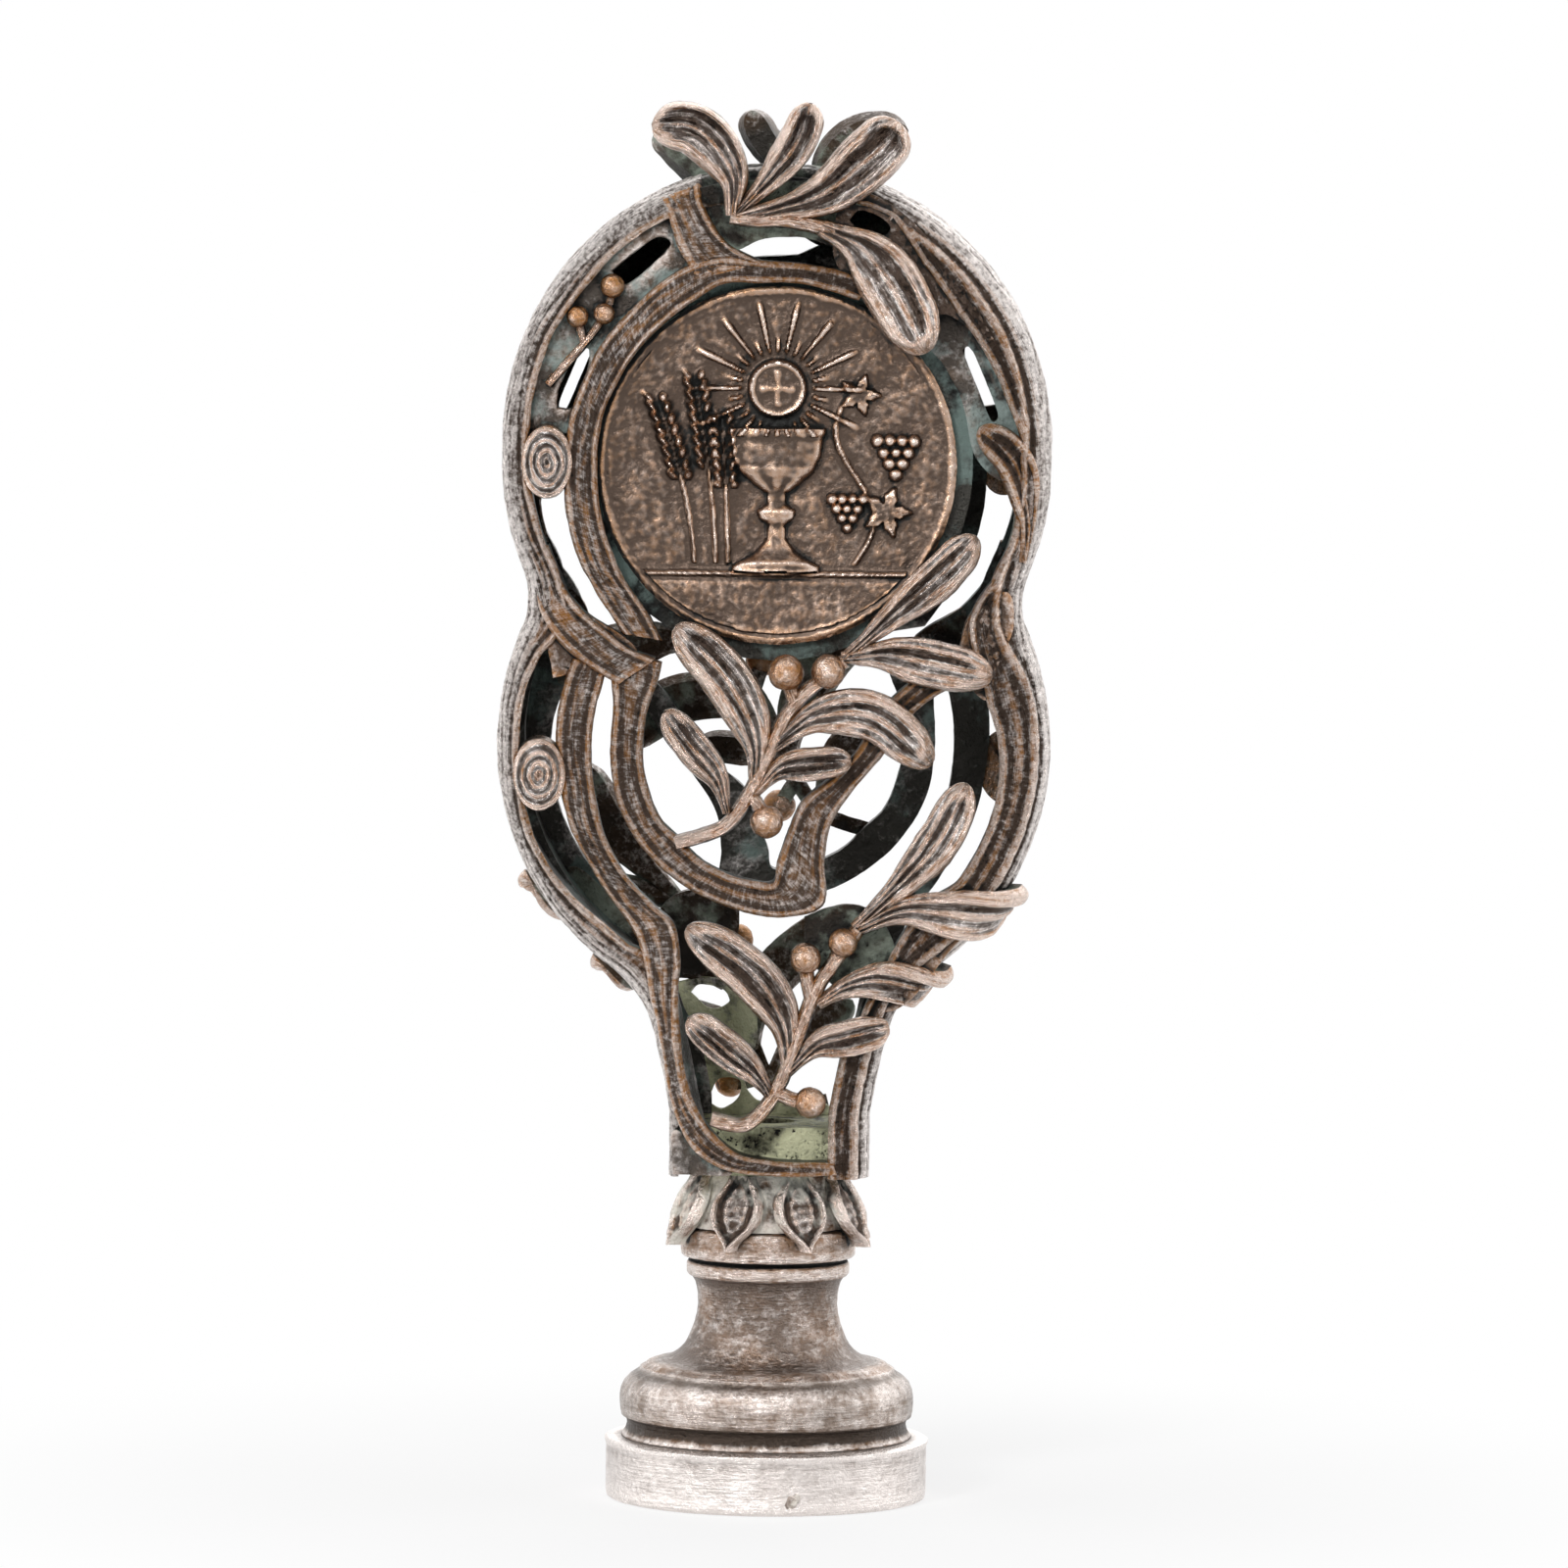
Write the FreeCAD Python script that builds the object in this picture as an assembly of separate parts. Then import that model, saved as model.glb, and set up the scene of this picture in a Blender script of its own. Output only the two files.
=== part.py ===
import FreeCAD, Part
import math
import os

# A desk wax seal: a turned foot with its matrix, a calyx of leaves and a hollow pierced handle.
# Millimetres, +Z up. The origin is the middle of the resting face, and the front faces -Y.
# The back of the handle is the front turned half a turn about the Z axis.

V = FreeCAD.Vector
FRONT = V(0, -1, 0)
UP = V(0, 0, 1)

# Matrix disc
MATRIX_R = 10.0
MATRIX_H = 3.35
RIM_R = 10.1
RIM_H = 0.5

# Turned stem, heights of its members from the foot up
UNDERCUT_R = 8.7
UNDERCUT_H = 1.15
TORUS_R = 9.1
TORUS_H = 3.0
SHOULDER_R = 7.6
STEM_H = 13.1
NECK_R = 4.3
NECK_DROP = 5.0
NECK_BEAD_R = 5.0
NECK_BEAD_H = 0.8
TOP_RING_R = 5.4
TOP_RING_H = 1.9

# Leaf collar
COLLAR_H = 3.5
COLLAR_TOP_R = 4.4
COLLAR_TIP_R = 6.3
COLLAR_OVERHANG = 1.0
COLLAR_WALL = 0.75
COLLAR_LEAVES = 8
COLLAR_LEAF_W = 4.3

# Stud that draws the whole seal together
STUD_R = 1.5
STUD_IN_MATRIX = 2.2
STUD_IN_PLUG = 2.6
STUD_CLEARANCE = 0.05

# Handle: one flat outline of a neck, a lower ring and a taller upper ring
HALF_DEPTH = 5.8
WALL = 1.7
SHOULDER_ROUND = 2.2
CORNER_ROUND = 1.6
FOOT_HALF_W = 6.25
FOOT_STRAIGHT = 3.8
NECK_HALF_W = 8.1
NECK_RISE = 11.9
NECK_LAP = 0.26
LOWER_R = 17.1
UPPER_R = 16.95
RING_LAP = 16.8
CROWN_STRETCH = 1.4

# Bands of the upper ring, from its edge inwards
UPPER_RIM_W = 2.15
UPPER_SLOT_W = 1.85
INNER_BAND_W = 1.8
MEDAL_SEAT_W = 0.95
LAP_RISE = 0.4
CURL_W = 2.2
TRAY_BAND_W = 2.0

# Bands of the lower ring, from its edge inwards
LOWER_RIM_W = 1.5
LOWER_SLOT_W = 1.8
MID_BAND_W = 1.9
LOOP_GAP = 1.45
LOOP_W = 1.95
LOOP_BAR_W = 2.1

# Openings, as angles from +X around the middle of their ring
TRAY_TOP_SLOT = (115, 131)
TRAY_SIDE_SLOT = (148, 170)
UPPER_LEFT_SLOT = (189, 226)
UPPER_RIGHT_SLOT = (314, 352)
CURL_SLOT = (14, 36)
CROWN_SLOT = (64, 74)
LOWER_LEFT_SLOTS = ((157, 179), (194, 232))
OPENING_RIGHT = (-78, 38)
LOOP_ARC = (128, 286)
LOOP_LINK_ARC = (128, 156)
LAP_ARC = (196, 232)

# Openings, other sizes
TRAY_INNER_GAP = 0.3
CURL_SLOT_INSET = 0.3
CURL_SLOT_W = 0.95
CROWN_SLOT_W = 1.4
LENS_HALF_W = 2.9
LENS_RISE = 0.95
LENS_HALF_H = 0.85
WINDOW_EDGE = 1.8
WINDOW_SILL = 1.3

# Round knots between the bands
KNOT_R = 1.45
KNOT_STRETCH = 1.35
KNOT_RISE = 0.35
KNOT_INSET = 2.6
UPPER_KNOT_RISE = 0.3
LOWER_KNOT_DROP = 1.9

# Plug in the foot of the handle
PLUG_H = 3.0
PLUG_CLEARANCE = 0.0

# Medallions
MEDAL_FLANGE_T = 1.1
MEDAL_FACE_T = 0.5
MEDAL_RIM_T = 0.35
MEDAL_RIM_W = 0.8
MEDAL_GAP = 0.12

# Mistletoe sprigs
LEAF_RISE = 1.25
TWIG_W = 0.95
BERRY_R = 1.05
SMALL_BERRY_R = 0.72
BERRY_LIFT = 0.45
CROWN_LEAF_DEPTH = 2.6
DRAWN_UPPER_R = 16.95
DRAWN_LOWER_R = 17.1

MATRIX_TOP = MATRIX_H + RIM_H
STEM_TOP = MATRIX_TOP + STEM_H
FOOT_Z = STEM_TOP + COLLAR_H
NECK_TOP_Z = FOOT_Z + NECK_RISE
LOWER_Z = NECK_TOP_Z + math.sqrt(LOWER_R ** 2 - NECK_HALF_W ** 2) - NECK_LAP
MEDAL_Z = LOWER_Z + UPPER_R + LOWER_R - RING_LAP
UPPER_TOP_Z = MEDAL_Z + CROWN_STRETCH
RING_FOOT_Z = LOWER_Z - LOWER_R
CROWN_Z = UPPER_TOP_Z + UPPER_R

UPPER_SCALE = UPPER_R / DRAWN_UPPER_R
LAP_IN_R = UPPER_R - UPPER_RIM_W * UPPER_SCALE
INNER_BAND_OUT_R = LAP_IN_R - UPPER_SLOT_W * UPPER_SCALE
MEDAL_HOLE_R = INNER_BAND_OUT_R - INNER_BAND_W * UPPER_SCALE
MEDAL_R = MEDAL_HOLE_R + MEDAL_SEAT_W

LOWER_SCALE = LOWER_R / DRAWN_LOWER_R
SLOT_OUT_R = LOWER_R - LOWER_RIM_W * LOWER_SCALE
MID_BAND_OUT_R = SLOT_OUT_R - LOWER_SLOT_W * LOWER_SCALE
MID_BAND_IN_R = MID_BAND_OUT_R - MID_BAND_W * LOWER_SCALE
LOOP_OUT_R = MID_BAND_IN_R - LOOP_GAP * LOWER_SCALE
LOOP_IN_R = LOOP_OUT_R - LOOP_W * LOWER_SCALE


def point(x, z):
    return V(x, 0, z)


def polar(centre_z, radius, degrees):
    """Point at an angle from +X around the middle of a ring."""
    turn = math.radians(degrees)
    return point(radius * math.cos(turn), centre_z + radius * math.sin(turn))


def slab(wire, near, far):
    """Solid of a closed upright outline between two depths in front of the seam."""
    face = Part.Face(wire)
    face.translate(FRONT * near)
    return face.extrude(FRONT * (far - near))


def disc(centre, radius, near, far):
    return Part.makeCylinder(radius, far - near, centre + FRONT * near, FRONT)


def half_turn(shape):
    """The same piece on the other side of the object."""
    return shape.rotated(V(0, 0, 0), UP, 180)


def outline(points):
    return Part.makePolygon(points + points[:1])


def revolved(profile):
    """Turned solid of a profile of (radius, height) pairs that starts and ends on the axis."""
    face = Part.Face(outline([V(r, 0, z) for r, z in profile]))
    return face.revolve(V(0, 0, 0), UP, 360)


def ring_sector(centre_z, inner, outer, start, end):
    """Closed outline between two radii and two angles around a ring's middle."""
    middle = (start + end) / 2
    outer_arc = Part.Arc(
        polar(centre_z, outer, start), polar(centre_z, outer, middle), polar(centre_z, outer, end)
    )
    inner_arc = Part.Arc(
        polar(centre_z, inner, end), polar(centre_z, inner, middle), polar(centre_z, inner, start)
    )
    ends = [
        Part.makeLine(polar(centre_z, outer, end), polar(centre_z, inner, end)),
        Part.makeLine(polar(centre_z, inner, start), polar(centre_z, outer, start)),
    ]
    return Part.Wire([outer_arc.toShape(), ends[0], inner_arc.toShape(), ends[1]])


def smooth(points):
    curve = Part.BSplineCurve()
    curve.interpolate(points)
    return curve


def side_points(spine, widths, side):
    """Points beside a curve in the upright plane, half a width away at each even step."""
    found = []
    first, last = spine.FirstParameter, spine.LastParameter
    for index, width in enumerate(widths):
        at = first + (last - first) * index / (len(widths) - 1)
        along = spine.tangent(at)[0]
        across = V(along.z, 0, -along.x) * (side * width / 2)
        found.append(spine.value(at) + across)
    return found


def ribbon(points, widths):
    """Closed outline of a band of changing width along a smooth line of points."""
    spine = smooth([point(x, z) for x, z in points])
    left = side_points(spine, widths, 1)
    right = side_points(spine, widths, -1)
    edges = [
        smooth(left).toShape(),
        Part.makeLine(left[-1], right[-1]),
        smooth(right[::-1]).toShape(),
        Part.makeLine(right[0], left[0]),
    ]
    return Part.Wire(edges)


def leaf_outline(spine, width):
    """Paddle leaf: narrow at its stalk, broadest past the middle and round at the tip."""
    shares = [0.25, 0.38, 0.6, 0.84, 1.0, 0.97, 0.72, 0.0]
    widths = [width * share for share in shares]
    middle = smooth([point(x, z) for x, z in spine])
    left = side_points(middle, widths, 1)
    right = side_points(middle, widths, -1)
    edge = smooth(left + right[-2::-1])
    return Part.Wire([edge.toShape(), Part.makeLine(right[0], left[0])])


def placed(points, height, scale):
    """Points (x, z) drawn around one height, at the size of their ring."""
    return [(x * scale, z * scale + height) for x, z in points]


def twig_outline(points, width):
    return ribbon(points, [width] * (2 * len(points) + 1))


def fused(shapes):
    whole = shapes[0].multiFuse(shapes[1:]) if len(shapes) > 1 else shapes[0]
    return whole.removeSplitter()


def solid_of(shape, name):
    """The one solid of a boolean result, checked."""
    solids = shape.Solids
    if len(solids) != 1:
        print(name, "has", len(solids), "solids")
    return solids[0] if len(solids) == 1 else Part.makeCompound(solids)


# Handle body, drawn once and used for the shell, its hollow and the sprigs that lie on it


def upper_outline(grow):
    radius = UPPER_R + grow
    left_top, left_low = point(-radius, UPPER_TOP_Z), point(-radius, MEDAL_Z)
    right_top, right_low = point(radius, UPPER_TOP_Z), point(radius, MEDAL_Z)
    top = Part.Arc(right_top, point(0, UPPER_TOP_Z + radius), left_top).toShape()
    low = Part.Arc(left_low, point(0, MEDAL_Z - radius), right_low).toShape()
    sides = [Part.makeLine(left_top, left_low), Part.makeLine(right_low, right_top)]
    return Part.Wire([top, sides[0], low, sides[1]])


def neck_outline(grow, bottom):
    """Neck from the foot up into the lower ring, with curved flanks."""
    foot, shoulder = FOOT_HALF_W + grow, NECK_HALF_W + grow
    straight_z = FOOT_Z + FOOT_STRAIGHT
    inside_z = LOWER_Z - LOWER_R / 2
    waist_x = foot + (shoulder - foot) * 0.42
    waist_z = (straight_z + NECK_TOP_Z) / 2
    edges = []
    for sign in (1, -1):
        flank = Part.Arc(
            point(sign * foot, straight_z), point(sign * waist_x, waist_z), point(sign * shoulder, NECK_TOP_Z)
        )
        edges.append(Part.makeLine(point(sign * foot, bottom), point(sign * foot, straight_z)))
        edges.append(flank.toShape())
        edges.append(Part.makeLine(point(sign * shoulder, NECK_TOP_Z), point(sign * shoulder, inside_z)))
    edges.append(Part.makeLine(point(shoulder, inside_z), point(-shoulder, inside_z)))
    edges.append(Part.makeLine(point(-foot, bottom), point(foot, bottom)))
    return Part.Wire(Part.__sortEdges__(edges))


def inward_corners(body, grow, depth):
    """Edges along the depth where two of the three forms meet."""
    upper, lower = UPPER_R + grow, LOWER_R + grow
    ring_gap = MEDAL_Z - LOWER_Z
    rings_z = LOWER_Z + (ring_gap ** 2 + lower ** 2 - upper ** 2) / (2 * ring_gap)
    neck_z = LOWER_Z - math.sqrt(lower ** 2 - (NECK_HALF_W + grow) ** 2)
    found = []
    for edge in body.Edges:
        start, end = edge.Vertexes[0].Point, edge.Vertexes[-1].Point
        if abs(abs(end.y - start.y) - depth) > 1e-4:
            continue
        if min(abs(start.z - rings_z), abs(start.z - neck_z)) < 0.3:
            found.append(edge)
    return found


def front_edges(body, depth, bottom):
    """Edges around the front face, which take the rounded shoulder, without the foot."""
    found = []
    for edge in body.Edges:
        heights = [vertex.Point for vertex in edge.Vertexes]
        on_front = all(abs(place.y + depth) < 1e-4 for place in heights)
        at_foot = all(abs(place.z - bottom) < 1e-4 for place in heights)
        if on_front and not at_foot:
            found.append(edge)
    return found


def plain_form(grow, bottom):
    """Half of the handle as a square-edged body, grown or shrunk all round by one amount."""
    depth = HALF_DEPTH + grow
    lower = disc(point(0, LOWER_Z), LOWER_R + grow, 0, depth)
    return fused([slab(upper_outline(grow), 0, depth), lower, slab(neck_outline(grow, bottom), 0, depth)])


def handle_form(grow, bottom):
    """The same body with its corners and its shoulder rounded."""
    depth = HALF_DEPTH + grow
    body = plain_form(grow, bottom)
    body = body.makeFillet(CORNER_ROUND - grow, inward_corners(body, grow, depth))
    return body.makeFillet(SHOULDER_ROUND + grow, front_edges(body, depth, bottom))


# Openwork: the pierced half


def wedge(centre_z, start, end):
    """Upright slice around a ring's middle that cuts any hole to a range of angles."""
    reach = 3 * UPPER_R
    steps = max(2, int(abs(end - start) / 60) + 2)
    turns = [start + (end - start) * index / (steps - 1) for index in range(steps)]
    points = [point(0, centre_z)] + [polar(centre_z, reach, turn) for turn in turns]
    return slab(outline(points), 0, HALF_DEPTH + 1)


def hole(wire):
    return slab(wire, 0, HALF_DEPTH + 1)


def round_hole(centre_z, radius):
    return disc(point(0, centre_z), radius, 0, HALF_DEPTH + 1)


def tray_holes():
    """Slots between the outer and inner bands at the upper left."""
    outer = round_hole(UPPER_TOP_Z, UPPER_R - TRAY_BAND_W)
    open_area = outer.cut(round_hole(MEDAL_Z, INNER_BAND_OUT_R + TRAY_INNER_GAP))
    return [open_area.common(wedge(MEDAL_Z, *arc)) for arc in (TRAY_TOP_SLOT, TRAY_SIDE_SLOT)]


def upper_slots():
    """Slots left and right of the medallion, cut between angles around it."""
    inner, outer = INNER_BAND_OUT_R, LAP_IN_R
    curl_in = inner + CURL_SLOT_INSET
    return [
        hole(ring_sector(MEDAL_Z, inner, outer, *UPPER_LEFT_SLOT)),
        hole(ring_sector(MEDAL_Z, inner, outer, *UPPER_RIGHT_SLOT)),
        hole(ring_sector(MEDAL_Z, curl_in, curl_in + CURL_SLOT_W, *CURL_SLOT)),
        hole(ring_sector(MEDAL_Z, outer, outer + CROWN_SLOT_W, *CROWN_SLOT)),
    ]


def crown_lens():
    """Lens-shaped opening between the inner band and the crown."""
    middle_z = MEDAL_Z + INNER_BAND_OUT_R + LENS_RISE
    left, right = point(-LENS_HALF_W, middle_z), point(LENS_HALF_W, middle_z)
    over = Part.Arc(left, point(0, middle_z + LENS_HALF_H), right)
    under = Part.Arc(right, point(0, middle_z - LENS_HALF_H), left)
    return hole(Part.Wire([over.toShape(), under.toShape()]))


def lower_slots():
    """Slots between the outer rim and the middle band at the left, above and below the knot."""
    return [hole(ring_sector(LOWER_Z, MID_BAND_OUT_R, SLOT_OUT_R, *arc)) for arc in LOWER_LEFT_SLOTS]


def lower_opening():
    """Wide opening inside the lower ring, down into the neck, before the loop goes back in."""
    left = round_hole(LOWER_Z, MID_BAND_IN_R)
    right = round_hole(LOWER_Z, MID_BAND_OUT_R).common(wedge(LOWER_Z, *OPENING_RIGHT))
    neck, foot = NECK_HALF_W - WINDOW_EDGE, FOOT_HALF_W - WINDOW_EDGE
    sill_z, top_z = FOOT_Z + WINDOW_SILL, NECK_TOP_Z + 1.3 * WINDOW_EDGE
    left_side = [
        point(-1.05 * neck, top_z), point(-0.95 * neck, NECK_TOP_Z - 2), point(-1.13 * foot, FOOT_Z + 7),
        point(-0.8 * foot, FOOT_Z + 4), point(0, sill_z + 0.2), point(0.67 * foot, sill_z + 0.1),
    ]
    right_side = [
        point(0.76 * foot, sill_z + 1.2), point(0.8 * foot, FOOT_Z + 5), point(foot, FOOT_Z + 8.5),
        point(neck, top_z),
    ]
    edges = [
        smooth(left_side).toShape(),
        Part.makeLine(left_side[-1], right_side[0]),
        smooth(right_side).toShape(),
        Part.makeLine(right_side[-1], left_side[0]),
    ]
    window = hole(Part.Wire(edges))
    return fused([left, right, window]).cut(round_hole(MEDAL_Z, INNER_BAND_OUT_R))


def loop_band():
    """Open loop inside the lower ring, with the bar that leaves its right end."""
    loop = ring_sector(LOWER_Z, LOOP_IN_R, LOOP_OUT_R, *LOOP_ARC)
    bar_points = [
        (2.1, -9.4), (1.9, -6.3), (2.8, -4.4), (4.4, -2.6), (6.2, -1.1), (7.8, 0.8), (9.4, 2.9), (13.0, 5.5),
    ]
    bar = twig_outline(placed(bar_points, LOWER_Z, LOWER_SCALE), LOOP_BAR_W * LOWER_SCALE)
    link = ring_sector(LOWER_Z, LOOP_IN_R, MID_BAND_IN_R + MID_BAND_W / 3, *LOOP_LINK_ARC)
    near = HALF_DEPTH - WALL
    return [slab(wire, near, HALF_DEPTH) for wire in (loop, bar, link)]


def curled_leaf():
    """Leaf that curls out of the right side of the outer band towards the medallion."""
    spine = placed([(15.1, -5.6), (15.0, -2.4), (14.2, 0.4), (12.3, 2.3)], MEDAL_Z, UPPER_SCALE)
    return slab(leaf_outline(spine, CURL_W), HALF_DEPTH - WALL, HALF_DEPTH + KNOT_RISE)


def band_lap():
    """Lower left end of the upper ring, which laps over the lower ring."""
    wire = ring_sector(MEDAL_Z, LAP_IN_R, UPPER_R - LAP_RISE, *LAP_ARC)
    return slab(wire, HALF_DEPTH - WALL, HALF_DEPTH + LAP_RISE)


def knot(centre_z):
    """Oval boss that ties two bands together."""
    near, far = HALF_DEPTH - WALL, HALF_DEPTH + KNOT_RISE
    boss = disc(point(0, 0), KNOT_R, near, far)
    stretch = FreeCAD.Matrix()
    stretch.scale(1, 1, KNOT_STRETCH)
    tall = boss.transformGeometry(stretch)
    tall.translate(point(KNOT_INSET - LOWER_R, centre_z))
    return tall


def front_openwork():
    shell = handle_form(0, FOOT_Z).cut(plain_form(-WALL, FOOT_Z - 1))
    holes = [round_hole(MEDAL_Z, MEDAL_HOLE_R), crown_lens(), lower_opening()]
    holes += tray_holes() + upper_slots() + lower_slots()
    pierced = shell.cut(holes)
    knots = [knot(MEDAL_Z + UPPER_KNOT_RISE), knot(LOWER_Z - LOWER_KNOT_DROP)]
    added = loop_band() + knots + [band_lap(), curled_leaf()]
    added = [extra.common(handle_form(LAP_RISE, FOOT_Z)) for extra in added]
    return solid_of(fused([pierced] + added), "front_openwork")


# Sprigs lie on the handle: a leaf is what its outline holds between two grown handle forms


def sprig(name, height, scale, leaves=(), twigs=(), berries=(), free=()):
    """One casting of leaves, twigs and berries, all drawn as (x, z) around one height."""
    over = handle_form(LEAF_RISE, FOOT_Z)
    under = handle_form(0, FOOT_Z - 1)
    reach = HALF_DEPTH + LEAF_RISE + 1
    flat = [leaf_outline(placed(spine, height, scale), width * scale) for spine, width in leaves]
    flat += [twig_outline(placed(points, height, scale), TWIG_W * scale) for points in twigs]
    pieces = [slab(wire, 0.4, reach).common(over) for wire in flat]
    far = HALF_DEPTH + LEAF_RISE
    for spine, width in free:
        wire = leaf_outline(placed(spine, height, scale), width * scale)
        pieces.append(slab(wire, far - CROWN_LEAF_DEPTH, far))
    for place, radius in berries:
        x, z = placed([place], height, scale)[0]
        pieces.append(Part.makeSphere(radius * scale, point(x, z) + FRONT * (HALF_DEPTH + BERRY_LIFT)))
    return solid_of(fused(pieces).cut(under), name)


def crown_sprig():
    free = [
        ([(-2.7, -2.2), (-3.0, 0.0), (-5.1, 2.5), (-8.3, 3.4)], 2.8),
        ([(-2.4, -2.4), (-0.4, -0.4), (1.1, 1.8), (1.9, 4.4)], 2.0),
        ([(-1.6, -3.0), (2.8, -1.6), (5.6, 1.1), (7.6, 3.6)], 3.0),
    ]
    leaves = [([(2.6, -3.7), (5.1, -5.0), (7.1, -7.5), (9.2, -11.4)], 3.7)]
    twigs = [[(-3.3, -3.3), (-1.4, -3.0), (0.6, -3.2), (3.4, -3.9)]]
    return sprig("crown_sprig", CROWN_Z, UPPER_SCALE, leaves, twigs, free=free)


def middle_sprig():
    leaves = [
        ([(4.3, 5.5), (7.4, 8.3), (10.1, 10.6), (12.3, 13.1)], 2.4),
        ([(4.1, 5.5), (6.9, 5.7), (9.7, 5.2), (13.4, 4.5)], 2.9),
        ([(-0.2, -0.1), (2.7, 1.9), (6.2, 1.9), (9.7, -1.0)], 2.9),
        ([(-1.1, -2.1), (-1.2, 0.7), (-2.9, 4.1), (-6.1, 7.4)], 2.9),
        ([(-2.8, -4.1), (-3.5, -1.9), (-4.9, -0.2), (-6.7, 2.2)], 2.0),
        ([(-1.1, -2.9), (0.4, -1.4), (2.5, -1.0), (4.8, -0.8)], 2.0),
    ]
    twigs = [
        [(-6.0, -6.0), (-2.9, -4.9), (-1.2, -2.4), (-0.2, -0.2), (0.7, 1.8), (1.9, 3.3), (4.3, 5.3)],
        [(-1.4, -3.0), (-0.9, -3.7), (-0.4, -4.6)],
        [(1.3, 2.6), (1.0, 3.6), (0.7, 4.6)],
        [(2.8, 4.1), (3.1, 4.4), (3.3, 4.7)],
    ]
    berries = [((0.7, 4.6), BERRY_R), ((3.3, 4.7), BERRY_R), ((-0.4, -4.6), BERRY_R)]
    return sprig("middle_sprig", LOWER_Z, LOWER_SCALE, leaves, twigs, berries)


def lower_sprig():
    leaves = [
        ([(5.1, 6.0), (8.2, 9.0), (10.3, 11.6), (11.9, 15.0)], 2.5),
        ([(5.3, 5.9), (8.0, 6.9), (11.1, 6.8), (15.3, 7.2)], 2.9),
        ([(2.9, 1.3), (4.9, 2.4), (7.6, 2.7), (10.5, 1.8)], 2.6),
        ([(1.1, -3.0), (2.8, -1.3), (4.8, -0.8), (7.1, 0.0)], 2.2),
        ([(1.1, -3.0), (0.8, 0.2), (-1.3, 3.1), (-5.2, 6.0)], 2.8),
        ([(0.2, -4.7), (-1.1, -2.9), (-2.9, -1.4), (-5.1, 0.4)], 2.1),
    ]
    twigs = [
        [(-3.6, -5.9), (-1.6, -6.3), (0.0, -4.8), (1.2, -2.2), (2.3, 1.0), (3.2, 2.9), (5.3, 5.9)],
        [(2.5, 1.6), (2.2, 2.9), (2.1, 4.1)],
        [(3.9, 4.0), (4.2, 4.5), (4.4, 5.1)],
        [(0.4, -4.2), (1.4, -4.7), (2.5, -4.8)],
    ]
    berries = [((2.1, 4.1), BERRY_R), ((4.4, 5.1), BERRY_R), ((2.5, -4.8), BERRY_R)]
    return sprig("lower_sprig", RING_FOOT_Z, LOWER_SCALE, leaves, twigs, berries)


def berry_twig():
    twigs = [
        [(-14.1, 4.8), (-12.8, 6.3), (-11.4, 8.0), (-10.6, 9.3)],
        [(-11.9, 7.4), (-12.1, 8.2), (-12.3, 9.0)],
        [(-10.7, 9.0), (-10.3, 10.0), (-10.2, 10.9)],
    ]
    berries = [((x, z), SMALL_BERRY_R) for x, z in ((-12.3, 9.0), (-10.7, 9.3), (-10.2, 10.9))]
    return sprig("berry_twig", MEDAL_Z, UPPER_SCALE, twigs=twigs, berries=berries)


# Medallion, which sits behind its round opening


def medallion():
    seat = HALF_DEPTH - WALL
    face_r = MEDAL_HOLE_R - MEDAL_GAP
    flange = disc(point(0, MEDAL_Z), MEDAL_R, seat - MEDAL_FLANGE_T, seat)
    face = disc(point(0, MEDAL_Z), face_r, seat, seat + MEDAL_FACE_T)
    rim = disc(point(0, MEDAL_Z), face_r, seat + MEDAL_FACE_T, seat + MEDAL_FACE_T + MEDAL_RIM_T)
    field = disc(
        point(0, MEDAL_Z), face_r - MEDAL_RIM_W, seat + MEDAL_FACE_T, seat + MEDAL_FACE_T + MEDAL_RIM_T
    )
    return solid_of(fused([flange, face, rim.cut(field)]), "medallion")


# Turned foot


def bore(radius, low_z, high_z):
    return Part.makeCylinder(radius, high_z - low_z, V(0, 0, low_z))


def seal_matrix():
    profile = [
        (0, 0), (MATRIX_R, 0), (MATRIX_R, MATRIX_H), (RIM_R, MATRIX_H + RIM_H * 0.6),
        (RIM_R - 0.5, MATRIX_TOP), (0, MATRIX_TOP),
    ]
    return revolved(profile).cut(bore(STUD_R + STUD_CLEARANCE, MATRIX_TOP - STUD_IN_MATRIX, MATRIX_TOP))


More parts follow.
